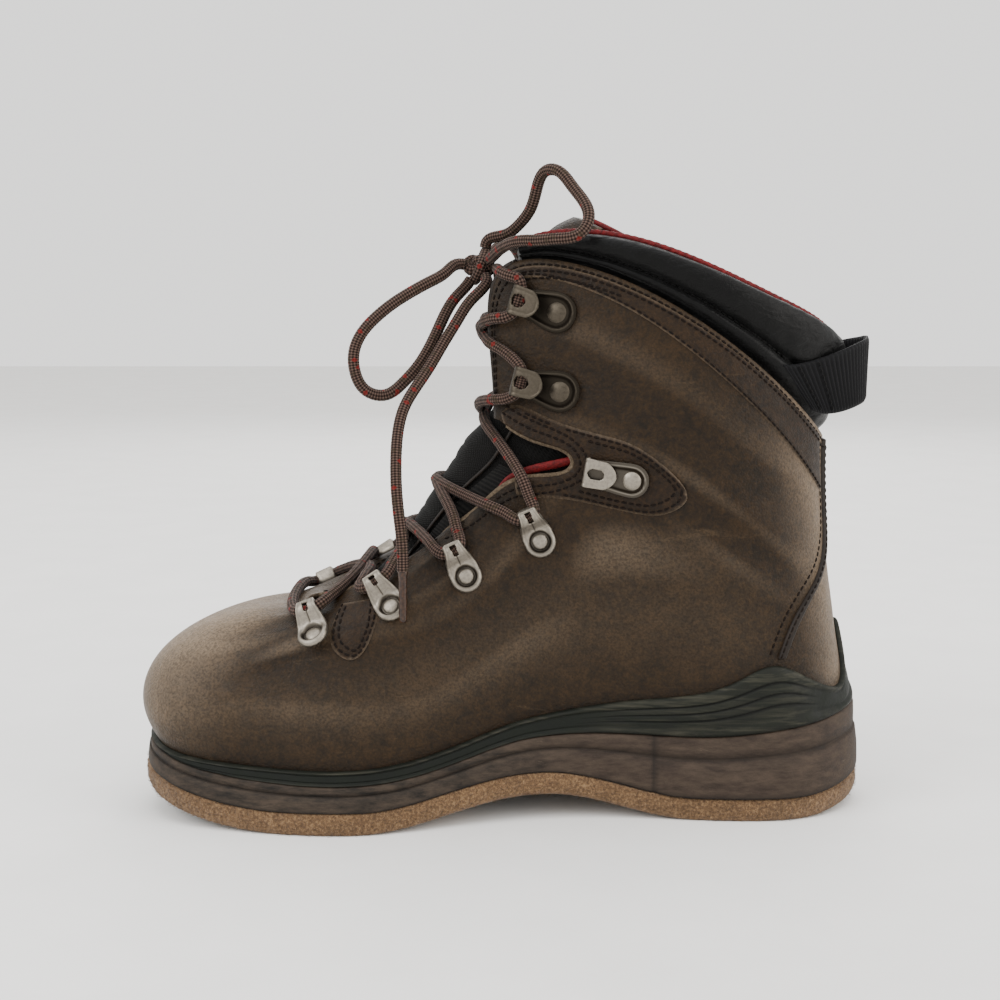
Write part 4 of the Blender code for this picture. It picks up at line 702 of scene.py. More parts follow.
sole = {"rows": 640, "fibres": 5200, "fibreLength": 2.2 * mm, "insole": 4 * mm,
        "heelStep": 0.7 * mm, "stepAt": 66.5 * mm, "stepGroove": 0.55 * mm, "nick": 0.35 * mm}
rand = {"thick": 2.9 * mm, "lip": 1.1 * mm, "bead": 0.75 * mm, "beadGroove": 0.35 * mm, "foot": 0.5 * mm,
        "footGroove": 0.4 * mm, "wingGroove": 1.0 * mm}
randRows = ((0, 0.07), (1, 0.08), (2, 0.12), (3, 0.155), (4, 0.17), (5, 0.19), (6, 0.26), (7, 0.43),
            (8, 0.64), (8.45, 0.75), (8.8, 0.56), (9.2, 0.33), (9.5, 0.30), (9.75, 0.52),
            (10, 0.96))  # line, height as a share of the seat's
randSpline = naturalSpline([row[0] for row in randRows], [row[1] * last["seatHeight"] for row in randRows])


def ringsOf(levels, count):  # closed level rings round the sole, each (margin, height function)
    where = np.arange(count) * lines / count
    rings = []
    for margin, height in levels:
        plan, _ = outline(where, np.full(count, margin))
        rings.append(np.column_stack([plan, height(plan[:, 0], plan[:, 1])]))
    return np.array(rings), where


def capped(name, rings, low, high, across=16):
    # side rings closed below and above by plates that shrink towards the sole's middle line
    rows, count = list(rings), len(rings[0])
    middle = np.column_stack([rings[0][:, 0] * 0.94, np.zeros(count)])
    for step in range(1, across):
        share = 1 - step / across
        flat = middle + (rings[-1][:, :2] - middle) * share
        rows.append(np.column_stack([flat, high(flat[:, 0], flat[:, 1])]))
    for step in range(across - 1, 0, -1):
        share = 1 - step / across
        flat = middle + (rings[0][:, :2] - middle) * share
        rows.insert(0, np.column_stack([flat, low(flat[:, 0], flat[:, 1])]))
    faces = gridFaces(len(rows), count, wrap=True)
    top = (len(rows) - 1) * count
    for k in range(count // 2):  # the last rings close across the middle line, side to side
        a, b, c, d = k, k + 1, (count - k - 1) % count, (count - k) % count
        faces += [(a, b, c, d), (top + a, top + d, top + c, top + b)]
    faces = [tuple(dict.fromkeys(face)) for face in faces]
    return outwardFaces(newMesh(name, np.array(rows).reshape(-1, 3), faces))


def wobble(points, size, depth, seed=0.0):  # soft uneven waves, the same each run
    x, y, z = np.moveaxis(np.asarray(points) / size + seed, -1, 0)
    wave = (np.sin(x * 2.1 + 1.7 * np.sin(y * 1.3 + seed)) * np.sin(z * 1.9 + seed * 2.3)
            + 0.5 * np.sin(x * 4.7 - y * 3.9 + z * 2.8 + seed))
    return wave * depth / 1.5


def makeFelt():
    wide = last["soleMargin"] + last["soleFlare"]
    tall = last["felt"]

    def level(share):
        return lambda x, y: treadHeight(x, y) + tall * share

    profile = ((-1.3, 0.0), (-0.75, 0.02), (-0.2, 0.07), (0.05, 0.16), (0.25, 0.3), (0.34, 0.45), (0.3, 0.6),
               (0.16, 0.74), (-0.02, 0.86), (-0.3, 0.95), (-0.8, 1.0))  # out in mm, share of the height
    levels = [(wide + out * mm, level(up)) for out, up in profile]
    rings, where = ringsOf(levels, sole["rows"])
    fuzz = np.random.default_rng(4)
    for k, (out, up) in enumerate(profile):
        if 0 < k < len(profile) - 1:
            _, outwards = outline(where)
            shift = wobble(rings[k], 2.2 * mm, 0.22 * mm, k) + fuzz.normal(0, 0.07 * mm, len(where))
            rings[k][:, :2] += outwards * shift[:, None]
            rings[k][:, 2] += wobble(rings[k], 3.1 * mm, 0.16 * mm, k + 5)
    thing = capped("felt_sole", rings, level(0.0), level(1.0))
    for vertex in thing.data.vertices:
        vertex.co.z = max(vertex.co.z, 0.0)
    return dress(thing, felt, "felt", "felt_outsole")


def makeFeltFibres():  # loose curled fibres standing off the felt's cut side
    draws = random.Random(11)
    wide = last["soleMargin"] + last["soleFlare"]
    points, faces = [], []
    for _ in range(sole["fibres"]):
        line, up = draws.uniform(0, lines), draws.uniform(0.03, 0.97)
        plan, outwards = outline(line, wide + 0.12 * mm)
        root = np.array([*plan, float(treadHeight(*plan)) + last["felt"] * up])
        out = np.array([*outwards, draws.uniform(-0.5, 0.5)])
        side = np.array([-outwards[1], outwards[0], draws.uniform(-0.8, 0.8)]) * draws.choice((-1, 1))
        reach = sole["fibreLength"] * draws.uniform(0.35, 1.0)
        width = np.array([0, 0, 0.07 * mm])
        curl = [root - out * 0.3 * mm, root + out * reach * 0.28 + side * reach * 0.25,
                root + out * reach * 0.36 + side * reach * 0.7, root + out * reach * 0.22 + side * reach]
        start = len(points)
        for k, place in enumerate(curl):
            place[2] = max(place[2], 0.15 * mm)
            points += [place - width * (1 - k / 4), place + width * (1 - k / 4)]
        faces += [(start + 2 * k, start + 2 * k + 2, start + 2 * k + 3, start + 2 * k + 1) for k in range(3)]
    dress(newMesh("felt_fibres", points, faces), felt, "felt")


def makeBlock():
    wide, flare, gap = last["soleMargin"], last["soleFlare"], last["gap"]

    def bed(x, y):
        return treadHeight(x, y) + last["felt"] + gap * 0.4

    def between(share):
        return lambda x, y: bed(x, y) + share * (seatHeight(x) - bed(x, y))

    half = flare / 2
    profile = ((flare - 1.2 * mm, 0.0), (flare - 0.25 * mm, 0.015), (flare, 0.05), (flare, 0.12),
               (flare * 0.8, 0.35), (half, 0.585), (half - 0.3 * mm, 0.60), (half - 0.9 * mm, 0.612),
               (half - 0.9 * mm, 0.66), (half - 0.6 * mm, 0.67), (0.1 * mm, 0.80), (0.0, 0.93),
               (-0.3 * mm, 0.97), (-1.1 * mm, 1.0))  # out, share of the height
    rings, where = ringsOf([(wide + out, between(up)) for out, up in profile], sole["rows"])
    _, outwards = outline(where)
    for k, (out, up) in enumerate(profile):
        x = rings[k][:, 0]
        heel = ease(0.066, 0.074, x)  # the heel block starts with a small step behind the waist
        inside = 0 < k < len(profile) - 1
        swell = heel * sole["heelStep"] * (1 - ease(0.5, 0.62, up)) + wobble(rings[k], 16 * mm, 0.22 * mm, 2)
        groove = -sole["stepGroove"] * bell(x, sole["stepAt"], 1.1 * mm) * (1 - ease(0.55, 0.75, up))
        nicks = -sole["nick"] * np.clip(wobble(rings[k], 5 * mm, 1.0, 9) - 0.72, 0, 1) * inside
        rings[k][:, :2] += outwards * (swell * inside + groove + nicks)[:, None]
    thing = capped("block_midsole", rings, between(0.0), between(1.0))
    x, y, z = np.array([v.co for v in thing.data.vertices]).T
    addShade(thing, "front", 1 - ease(-0.01, 0.045, x))
    share = (z - bed(x, y)) / np.maximum(seatHeight(x) - bed(x, y), 1e-4)
    # darker: painted shade under the ledge and in the heel's step groove, and darker along the join with the
    # felt
    addShade(thing, "grime_and_shade", np.clip(bell(share, 0.64, 0.035) + bell(share, 0.0, 0.06)
                                     + 0.8 * bell(x, sole["stepAt"], 1.2 * mm), 0, 1))
    return dress(thing, midRubber, "block_rubber", "midsole")


def wingShare(fromToe):  # 1 along the grooved wing beside the heel, 0 away from it
    return ease(6.0, 7.3, fromToe) * (1 - ease(8.62, 8.95, fromToe))


def makeRand():
    where = np.arange(sole["rows"]) * lines / sole["rows"]
    fromToe = np.minimum(where, lines - where)
    plan, _ = outline(where)
    low = seatHeight(plan[:, 0])
    top = low + randSpline(fromToe)
    rises = np.linspace(0, 1, 161)
    tall = upperPoint(where[:, None], rises[None, :])[..., 2]
    end = np.array([np.interp(t, z, rises) for t, z in zip(top, tall)])
    wing = wingShare(fromToe)
    thick, lip, gap = rand["thick"], rand["lip"], last["gap"]
    steps = np.concatenate([[0.0], np.linspace(0.04, 0.96, 44), [0.99, 1.0]])
    grooves = ((0.40, 0.020), (0.575, 0.018), (0.75, 0.018))  # step and half width of the wing's grooves
    outer, paleness, dark = [], [], []
    for step in steps:
        body = thick * (1 - step) + lip * step + gap + lip * wing * math.sin(math.pi * step)
        bead = (rand["bead"] * bell(step, 0.90, 0.075) * (1 - 0.55 * wing)
                - rand["beadGroove"] * bell(step, 0.76, 0.05) * (1 - wing))
        foot = (rand["foot"] * bell(step, 0.10, 0.08)
                - rand["footGroove"] * bell(step, 0.24, 0.06) * (1 - wing))
        cut = sum(bell(step, centre, wide) for centre, wide in grooves)
        edge = min(step / 0.05, (1 - step) / 0.045, 1.0)
        rounded = math.sqrt(1 - (1 - edge) ** 2)
        out = (body + bead + foot - rand["wingGroove"] * cut * wing - gap * 0.3) * (0.18 + 0.82 * rounded)
        points = offUpper(where, end * step, out + gap * 0.3)
        points = points + upperNormal(where, end * step) * wobble(points, 12 * mm, 0.16 * mm, 1)[:, None]
        outer.append(points)
        paleness.append(np.clip(bell(step, 0.90, 0.10) + 0.55 * wing * (1 - cut) + 0.35 * bell(step, 0.1, 0.1),
                              0, 1))
        # darker: painted shade in the wing's grooves, and darker along the bottom edge
        dark.append(np.clip(wing * sum(bell(step, centre, wide * 1.2) for centre, wide in grooves), 0, 1)
                    + 0.6 * bell(step, 0.0, 0.05))
    flat, _ = outline(where, thick + gap)
    outer[0][:, :2] = flat
    for step in (1.0, 0.66, 0.33, 0.0):
        outer.append(offUpper(where, end * step, gap * 0.2))
        paleness.append(np.zeros(len(where)))
        dark.append(np.ones(len(where)) * 0.5)
    sections = np.array(outer).transpose(1, 0, 2)
    floorLine = seatHeight(sections[..., 0]) + gap * 0.4
    sections[..., 2] = np.maximum(sections[..., 2], floorLine)
    thing = loft("rubber_rand", sections, ring=True)
    addShade(thing, "wear_and_sheen", np.array(paleness).T.ravel())
    addShade(thing, "grime_and_shade", np.clip(np.array(dark).T.ravel(), 0, 1))
    return dress(thing, foxing, "rand_rubber", "rand")


def makeInsole():
    def low(x, _y):
        return seatHeight(x) + last["gap"]

    def high(x, y):
        return low(x, y) + sole["insole"]

    inset = -(last["wall"] + 0.8 * mm)
    profile = ((-0.4, 0.0), (0.0, 0.2), (0.0, 0.75), (-0.3, 0.93), (-1.0, 1.0))
    levels = [(inset + out * mm, lambda x, y, up=up: low(x, y) + sole["insole"] * up) for out, up in profile]
    rings, _ = ringsOf(levels, 240)
    return dress(capped("insole_footbed", rings, low, high, 12), lining, "lining", "insole")


makeFelt()
makeFeltFibres()
makeBlock()
makeRand()
makeInsole()
print("sole made")


# Upper: one leather shell with its creases, the notch at the ankle bend and its cut edges

shell = {"columns": 392, "rows": 96}
# Creases and soft hollows, given one by one. Columns: line from the toe, rise, half length in lines, half
# width in rise, slant (rise per line), depth in mm (a ridge where it is negative), side (-1 medial, 1
# lateral)
creases = (
    (2.35, 0.66, 1.0, 0.060, 0.05, 0.9, -1), (2.45, 0.66, 1.0, 0.060, 0.05, 0.9, 1),
    (3.35, 0.36, 1.3, 0.075, -0.04, 0.7, -1), (3.45, 0.40, 1.3, 0.075, -0.04, 0.8, 1),
    (2.75, 0.48, 0.8, 0.05, 0.09, -0.5, -1), (2.85, 0.50, 0.8, 0.05, 0.09, -0.5, 1),
    (4.45, 0.62, 0.9, 0.05, 0.02, 0.6, -1), (4.5, 0.60, 0.9, 0.05, 0.02, 0.7, 1),
    (5.6, 0.34, 1.2, 0.07, 0.03, 0.8, -1), (5.7, 0.36, 1.2, 0.07, 0.03, 0.8, 1),
    (6.9, 0.36, 1.0, 0.055, 0.02, -0.6, -1), (6.9, 0.36, 1.0, 0.055, 0.02, -0.6, 1),
    (7.6, 0.70, 1.1, 0.07, -0.06, 0.7, -1), (7.5, 0.70, 1.1, 0.07, -0.06, 0.7, 1),
    (8.25, 0.47, 0.7, 0.045, -0.12, 0.7, -1), (8.2, 0.47, 0.7, 0.045, -0.12, 0.8, 1),
    (8.9, 0.60, 0.6, 0.08, 0.05, 0.6, -1), (8.9, 0.60, 0.6, 0.08, 0.05, 0.6, 1),
    (9.4, 0.25, 0.5, 0.08, 0.0, 0.5, -1), (9.4, 0.25, 0.5, 0.08, 0.0, 0.5, 1),
    (1.3, 0.35, 1.0, 0.10, 0.04, 0.6, -1), (1.5, 0.38, 1.0, 0.10, 0.04, 0.6, 1),
)
notchRows = ((-0.130, 0.195), (-0.080, 0.235), (-0.026, 0.319), (0.020, 0.392), (0.059, 0.402),
             (0.088, 0.415), (0.097, 0.432), (0.097, 0.448), (0.053, 0.501), (-0.001, 0.560),
             (-0.130, 0.620))  # x, z shares


def creaseDepth(line, rise):  # how far the skin lies out of its plain form, in metres
    line, rise = np.broadcast_arrays(np.asarray(line, float), np.asarray(rise, float))
    fromToe = np.minimum(line, lines - line)
    side = np.where(line <= lines / 2, -1, 1)
    out = np.zeros(line.shape)
    for place, high, long, wide, slant, depth, where in creases:
        across = (rise - high - slant * (fromToe - place)) / wide
        fade = np.exp(-((fromToe - place) / long) ** 2 * 1.5) * (side == where)
        out -= depth * mm * fade * (np.exp(-across ** 2) - 0.35 * np.exp(-(np.abs(across) - 1.6) ** 2 * 2))
    edge = ease(1.0, 0.93, rise) * ease(0.0, 0.06, rise)
    return out * edge


def skinPoint(line, rise, distance=0.0):  # a point off the creased skin
    return offUpper(line, rise, creaseDepth(line, rise) + distance)


def notchPoints():
    corners = [(x * last["length"], heightAt(z)) for x, z in notchRows]
    inner = [(x, 0.0, z) for x, z in corners[1:-1]]
    curve = smoothPath(inner, 1.2 * mm)[:, [0, 2]]
    return np.array([corners[0], *curve, corners[-1]])


def notchPrism():  # the tool that cuts the notch at the ankle bend
    near, far = ([(x, y, z) for x, z in notchPoints()] for y in (-0.2, 0.2))
    return loft("notch_tool", [near, far])


def makeUpper():
    where = np.arange(shell["columns"]) * lines / shell["columns"]
    rises = np.linspace(0, 1, shell["rows"])
    grid = skinPoint(where[None, :], rises[:, None])
    faces = gridFaces(shell["rows"], shell["columns"], wrap=True)
    thing = newMesh("leather_upper", grid.reshape(-1, 3), faces)
    fromToe = np.minimum(where, lines - where)[None, :] + 0 * rises[:, None]
    tall = rises[:, None] + 0 * where[None, :]
    # paler: a painted highlight for the wax's sheen at the toe and the heel; slightly paler along a low
    # band, at the top edge and on crease ridges
    toe = (1 - ease(0.6, 2.6, fromToe)) * bell(tall, 0.62, 0.45)
    low = bell(tall, 0.24, 0.12) * (1 - ease(8.0, 9.0, fromToe)) * 0.08
    back = ease(8.7, 9.6, fromToe) * 0.6
    top = ease(0.93, 1.0, tall) * 0.08
    creased = creaseDepth(where[None, :], rises[:, None])
    ridge, hollow = np.clip(creased / (0.6 * mm), 0, 1) * 0.3, np.clip(-creased / (0.9 * mm), 0, 1) * 0.25
    addShade(thing, "wear_and_sheen", np.clip(toe * 0.9 + low + back + top + ridge, 0, 1))
    randTop = np.interp(fromToe[0], *np.array(randRows).T) * last["seatHeight"]
    above = grid[..., 2] - seatHeight(outline(where)[0][:, 0])[None, :] - randTop[None, :]
    flat = grid[..., [0, 2]].reshape(-1, 1, 2)
    toNotch = np.linalg.norm(flat - notchPoints()[None, 1:-1], axis=2).min(1).reshape(tall.shape)
    beside = ease(0.925, 0.94, tall) * ease(1.2, 1.6, fromToe) * (1 - ease(6.9, 7.1, fromToe))
    strip = 0.4 * np.maximum(1 - ease(6.0 * mm, 7.5 * mm, toNotch), beside)
    # darker: painted shade in the crease hollows, darker just above the rand, and the dark strip beside the
    # notch and the top edge
    addShade(thing, "grime_and_shade", np.clip(hollow + 0.55 * bell(above, 0.0, 3.5 * mm) + strip, 0, 1))
    wall = thing.modifiers.new("wall", "SOLIDIFY")
    wall.thickness, wall.offset, wall.use_even_offset = last["wall"], -1, True
    tool = notchPrism()
    carve(thing, tool)
    bpy.data.objects.remove(tool, do_unlink=True)
    thing.data.polygons.foreach_set("use_smooth", [True] * len(thing.data.polygons))
    return dress(thing, leather, "leather", "upper")


upperSkin = makeUpper()
print("upper made")


# Overlays sewn on the upper

bandRows = ((7.0, 0.18), (7.5, 0.26), (8.0, 0.38), (8.5, 0.56), (9.0, 0.70), (9.5, 0.76), (10.0, 0.78))
patchRows = ((5.76, 0.585, 0.860), (6.10, 0.525, 0.785), (6.50, 0.480, 0.690), (6.90, 0.452, 0.625),
             (7.30, 0.443, 0.606), (7.60, 0.450, 0.604), (7.95, 0.470, 0.590))  # line, low, high
tabCurve = ((3.13, 0.66), (3.20, 0.585), (3.33, 0.475), (3.50, 0.415), (3.68, 0.385), (3.82, 0.405),
            (3.86, 0.470), (3.84, 0.530), (3.74, 0.62))  # line, rise, open at the top
seamRows = ((8.52, 0.296), (8.66, 0.335), (8.95, 0.395), (9.35, 0.450), (9.68, 0.505), (9.80, 0.570),
            (9.84, 0.640), (9.86, 0.686))  # line, height as a share of the shaft's


def sewnPiece(name, line, rise, thick, material, slot, *nodes, roll=1.0 * mm, sink=0.4 * mm):
    # a piece of leather on the skin over a grid of places, its edge rolled down into the skin
    rows, columns = line.shape
    flat = upperPoint(line, rise)
    across = np.linalg.norm(np.diff(flat, axis=1), axis=2)
    down = np.linalg.norm(np.diff(flat, axis=0), axis=2)
    left = np.concatenate([np.zeros((rows, 1)), np.cumsum(across, 1)], 1)
    up = np.concatenate([np.zeros((1, columns)), np.cumsum(down, 0)], 0)
    inset = np.minimum.reduce([left, left[:, -1:] - left, up, up[-1:] - up])
    share = np.clip(inset / roll, 0, 1)
    outer = skinPoint(line, rise, -sink + (thick + sink) * np.sqrt(1 - (1 - share) ** 2))
    thing = closedSheet(name, outer, skinPoint(line, rise, -1.0 * mm))
    # along the rolled edge: a pale band, rubbed wear with a painted highlight, and a darker line at the very
    # rim
    for shade, wide, share in (("wear_and_sheen", 1.6 * mm, 0.55), ("grime_and_shade", 0.5 * mm, 0.5)):
        edge = np.clip(1 - inset / wide, 0, 1).ravel() * share
        addShade(thing, shade, np.concatenate([edge, edge * 0]))
    return dress(thing, material, slot, *nodes)


def bandGrid(side, count=150, rows=14):
    where = np.linspace(7.0, 9.66, count)
    depth = naturalSpline(*np.array(bandRows).T)(where) * last["seatHeight"]
    low = np.array([riseAt(one, float(topEdge(one)[2]) - d) for one, d in zip(where, depth)])
    share = np.linspace(0, 1, rows)[:, None]
    return onSide(where[None, :] + 0 * share, side), low[None, :] + share * (0.985 - low[None, :])


def patchGrid(side, count=120, rows=18):
    table = np.array(patchRows).T
    where = np.concatenate([np.linspace(5.76, 7.5, count - 40), np.linspace(7.5, 7.95, 42)[1:]])
    low, high = naturalSpline(table[0], table[1])(where), naturalSpline(table[0], table[2])(where)
    taper = np.sqrt(np.clip(1 - np.clip((where - 7.5) / 0.45, 0, 1) ** 2, 0.0, 1))
    middle, half = (low + high) / 2, (high - low) / 2 * np.maximum(taper, 0.03)
    share = np.linspace(-1, 1, rows)[:, None]
    return onSide(where[None, :] + 0 * share, side), middle[None, :] + share * half[None, :]


def curveOnSkin(rows, count):  # a smooth curve of places through a few given ones
    return naturalSpline(np.arange(len(rows)), rows)(np.linspace(0, len(rows) - 1, count))


def tabGrid(side, rows=16):
    curve = curveOnSkin(tabCurve, 81)
    left, right = curve[:41], curve[::-1][:41]
    share = np.linspace(0, 1, rows)[:, None, None]
    grid = left[None] + (right - left)[None] * share
    grid[:, -1] += 0.0005 * (np.linspace(0, 1, rows)[:, None] - 0.5)
    return onSide(grid[..., 0], side), grid[..., 1]


def seamGrid(side, rows=9, count=90):
    tall = np.linspace(seamRows[0][1], seamRows[-1][1], count) * last["shaftHeight"]
    where = naturalSpline([z * last["shaftHeight"] for _, z in seamRows], [l for l, _ in seamRows])(tall)
    around = np.linalg.norm(upperPoint(where + 0.05, np.full(count, 0.5))
                            - upperPoint(where - 0.05, np.full(count, 0.5)), axis=1) / 0.1
    shift = np.linspace(-2.7 * mm, 2.7 * mm, rows)[:, None] / around[None, :]
    place = np.minimum(where[None, :] + shift, lines / 2 - 0.002)
    rise = np.array([[riseAt(float(l), float(h)) for l, h in zip(row, tall)] for row in place])
    return onSide(place, side), rise


def makeOverlays():
    made, tool = [], notchPrism()
    for side, word in bothSides:
        for name, grid, thick, material in (("collar_band_", bandGrid, 0.75 * mm, trimLeather),
                                            ("ankle_patch_", patchGrid, 1.15 * mm, trimLeather),
                                            ("vamp_tab_", tabGrid, 1.1 * mm, trimLeather),
                                            ("heel_seam_", seamGrid, 1.7 * mm, binding)):
            name += word
            made.append(sewnPiece(name + "_sewn", *grid(side), thick, material, "dark_leather", name))
            if grid is patchGrid:
                carve(made[-1], tool)
    bpy.data.objects.remove(tool, do_unlink=True)
    return made


overlays = makeOverlays()
skinTree = searchTree([upperSkin, *overlays])
print("overlays made")


# Cut edges, folded edges and stitches

throat = {"notchLow": 4.02, "notchHigh": 5.46}  # lines where the notch cuts the top edge
stitch = {"pitch": 3.1 * mm, "length": 2.6 * mm, "radius": 0.5 * mm}
topSeams = ((7.02, 9.84, 2.6, 120), (7.02, 9.84, 5.6, 120), (7.02, 7.9, 8.8, 60),
            (1.3, throat["notchLow"], 2.8, 120), (2.2, throat["notchLow"], 5.6, 120),
            (throat["notchHigh"], 7.0, 3.0, 70), (throat["notchHigh"], 7.0, 6.0, 70))  # lines, depth, points


def onTop(line, rise):  # the outermost leather there, and its direction outwards
    place, normal = Vector(offUpper(line, rise, 7 * mm)), Vector(upperNormal(line, rise))
    hit, _, _, _ = skinTree.ray_cast(place, -normal, 9 * mm)
    return (np.array(hit), np.array(normal)) if hit else None


def insetCurve(curve, distance):  # moved sideways on the skin by that many metres, to the curve's left
    line, rise = curve.T
    wide = np.linalg.norm(upperPoint(line + 0.05, rise) - upperPoint(line - 0.05, rise), axis=1) / 0.1
    tall = np.linalg.norm(upperPoint(line, np.clip(rise + 0.02, 0, 1))
                          - upperPoint(line, np.clip(rise + 0.02, 0, 1) - 0.04), axis=1) / 0.04
    flat = np.column_stack([line * wide, rise * tall])
    along = np.gradient(curve, axis=0) * np.column_stack([wide, tall])
    along /= np.linalg.norm(along, axis=1, keepdims=True)
    moved = flat + np.column_stack([-along[:, 1], along[:, 0]]) * distance
    return np.column_stack([moved[:, 0] / wide, moved[:, 1] / tall])


def sewAlong(curve, side, store, clear):
    # stitches along a curve of places on the skin; they are gathered as points and faces in store
    line, rise = onSide(curve[:, 0], side), np.clip(curve[:, 1], 0.02, 0.995)
    flat = upperPoint(line, rise)
    run = np.concatenate([[0], np.cumsum(np.linalg.norm(np.diff(flat, axis=0), axis=1))])
    for start in np.arange(0.6 * mm, run[-1] - stitch["length"], stitch["pitch"]):
        ends = []
        for share in (0.0, 0.5, 1.0):
            here = start + stitch["length"] * share
            ends.append(onTop(float(np.interp(here, run, line)), float(np.interp(here, run, rise))))
        if None in ends:
            continue
        places = [end[0] for end in ends]
        apart = min(np.linalg.norm(corner - places[1][[0, 2]]) for corner in notchCorners)
        if apart < clear or np.linalg.norm(places[2] - places[0]) > 1.6 * stitch["length"]:
            continue
        addStitch(places, ends[1][1], store)


def addStitch(places, normal, store):
    points, faces = store
    radius, start = stitch["radius"], len(points)
    along = (places[2] - places[0]) / max(np.linalg.norm(places[2] - places[0]), 1e-9)
    across = np.cross(along, normal)
    profile = ((0.0, 0.35, -0.6), (0.10, 0.8, -0.1), (0.35, 1.0, 0.15), (0.65, 1.0, 0.15), (0.90, 0.8, -0.1),
               (1.0, 0.35, -0.6))  # share of the length, thickness, lift, in radii
    for share, size, lift in profile:
        middle = places[0] * (1 - share) + places[2] * share
        bow = (places[1] - (places[0] + places[2]) / 2) * (1 - (2 * share - 1) ** 2)
        centre = middle + bow + normal * lift * radius
        for k in range(6):
            turn = k * math.pi / 3
            points.append(centre + (across * math.cos(turn) + normal * math.sin(turn) * 0.8) * radius * size)
    for r in range(len(profile) - 1):
        faces += [(start + r * 6 + k, start + r * 6 + (k + 1) % 6, start + r * 6 + 6 + (k + 1) % 6,
                   start + r * 6 + 6 + k) for k in range(6)]
    end = start + (len(profile) - 1) * 6
    faces += [tuple(start + k for k in range(5, -1, -1)), tuple(end + k for k in range(6))]


def notchOnSkin():  # the notch's edge as places on the medial skin, from its lower end to its upper one
    grid = np.stack(np.meshgrid(np.linspace(3.6, 7.4, 420), np.linspace(0.40, 1.0, 260), indexing="ij"), -1)
    flat = upperPoint(grid[..., 0], grid[..., 1])[..., [0, 2]].reshape(-1, 2)
    places = grid.reshape(-1, 2)
    found = []
    for corner in notchPoints()[1:-1]:
        gap = np.linalg.norm(flat - corner, axis=1)
        if gap.min() < 1.2 * mm:
            found.append(places[gap.argmin()])
    found, kernel = np.array(found), np.ones(5) / 5
    return np.column_stack([np.convolve(np.pad(row, 2, mode="edge"), kernel, "valid") for row in found.T])


def belowTop(first, final, depth, count):
    where = np.linspace(first, final, count)
    return np.column_stack([where, [riseBelowTop(float(one), depth * mm) for one in where]])


def stitchRows():  # the seams of the medial side: along the top edge, then those of each overlay
    rows = [belowTop(*row) for row in topSeams]
    line, rise = bandGrid(-1)
    rows.append(insetCurve(np.column_stack([line[0], rise[0]]), 1.9 * mm))
    line, rise = patchGrid(-1)
    rim = np.concatenate([np.column_stack([line[0], rise[0]]), np.column_stack([line[1:, -1], rise[1:, -1]]),
                          np.column_stack([line[-1], rise[-1]])[::-1][1:]])
    rows += [insetCurve(rim[::3], depth) for depth in (2.2 * mm, 5.0 * mm)]
    rows += [insetCurve(curveOnSkin(tabCurve, 90), depth) for depth in (1.7 * mm, 3.9 * mm)]
    line, rise = seamGrid(-1)
    return rows + [np.column_stack([line[2], rise[2]]),
                   insetCurve(np.column_stack([line[0], rise[0]]), 3.2 * mm)]


def edgeCord(name, curve, side, out, radius, material, lift=0.0):
    line, rise = onSide(curve[:, 0], side), np.clip(curve[:, 1], 0, 1)
    path = offUpper(line, rise, np.full(len(line), out * mm))
    path[:, 2] += lift * mm
    thing = sweep(name, smoothPath(path[::4], 1.2 * mm), radius * mm, 10)
    return dress(thing, material, "dark_leather" if material is binding else "leather")


notchEdge, notchCorners = notchOnSkin(), notchPoints()[1:-1]
throatEdge = np.column_stack([np.linspace(1.0, throat["notchLow"], 90), np.ones(90)])
shaftEdge = np.column_stack([np.linspace(throat["notchHigh"], 7.15, 60), np.ones(60)])
stitches, seams = ([], []), stitchRows()
for side, word in bothSides:
    for row in seams:
        sewAlong(row, side, stitches, 8.5 * mm)
    for depth in (3.0 * mm, 5.8 * mm):
        sewAlong(insetCurve(notchEdge, -depth), side, stitches, 2.4 * mm)
    edgeCord("notch_cut_edge_" + word, notchEdge, side, -1.3, 1.42, rawEdge)
    edgeCord("throat_cut_edge_" + word, throatEdge, side, -1.3, 1.40, rawEdge)
    for k, (out, lift, size) in enumerate(((-1.3, 0.0, 1.45), (-3.3, 0.9, 1.1), (-4.9, 1.8, 0.9))):
        edgeCord("shaft_folded_edge_%d_%s" % (k + 1, word), shaftEdge, side, out, size, binding, lift)
dress(newMesh("leather_stitches", *stitches), brownThread, "leather")
print("edges and", len(stitches[1]) // 32, "stitches made")


# Collar pad, its piping and the pull loop

pad = {"thickness": 9.5 * mm, "tuck": 12 * mm, "rise": 40 * mm, "piping": 1.25 * mm, "sections": 300,
       "points": 72, "fit": 0.8 * mm}
padRows = ((7.15, 0.16, 0.35, 0.00), (7.5, 0.27, 0.70, 0.00), (8.0, 0.43, 0.95, 0.05),
           (8.5, 0.59, 1.00, 0.12), (9.0, 0.80, 1.05, 0.30), (9.5, 1.02, 1.08, 0.62),
           (10.0, 1.04, 1.10, 0.80))  # line, rise, thickness, lean
padGroove = (-0.10, 0.365)
padSection = ((0.02, 0.03), (0.20, 0.13), (0.17, 0.27), padGroove, (0.20, 0.46), (0.39, 0.66), (0.30, 0.88),
              (-0.12, 1.00), (-0.58, 0.95), (-0.90, 0.72), (-1.00, 0.30))  # out, up
loopRows = ((9.28, 0.14, 0.00, 44), (9.42, 0.26, 0.15, 38), (9.62, 0.48, 0.74, 26), (9.82, 0.68, 1.34, 14),
            (10.0, 0.76, 1.58, 8))  # line, up, out, tilt
webbing = {"thick": 1.8 * mm, "width": 28 * mm, "reach": 11 * mm, "rib": 1.9 * mm, "relief": 0.26 * mm}


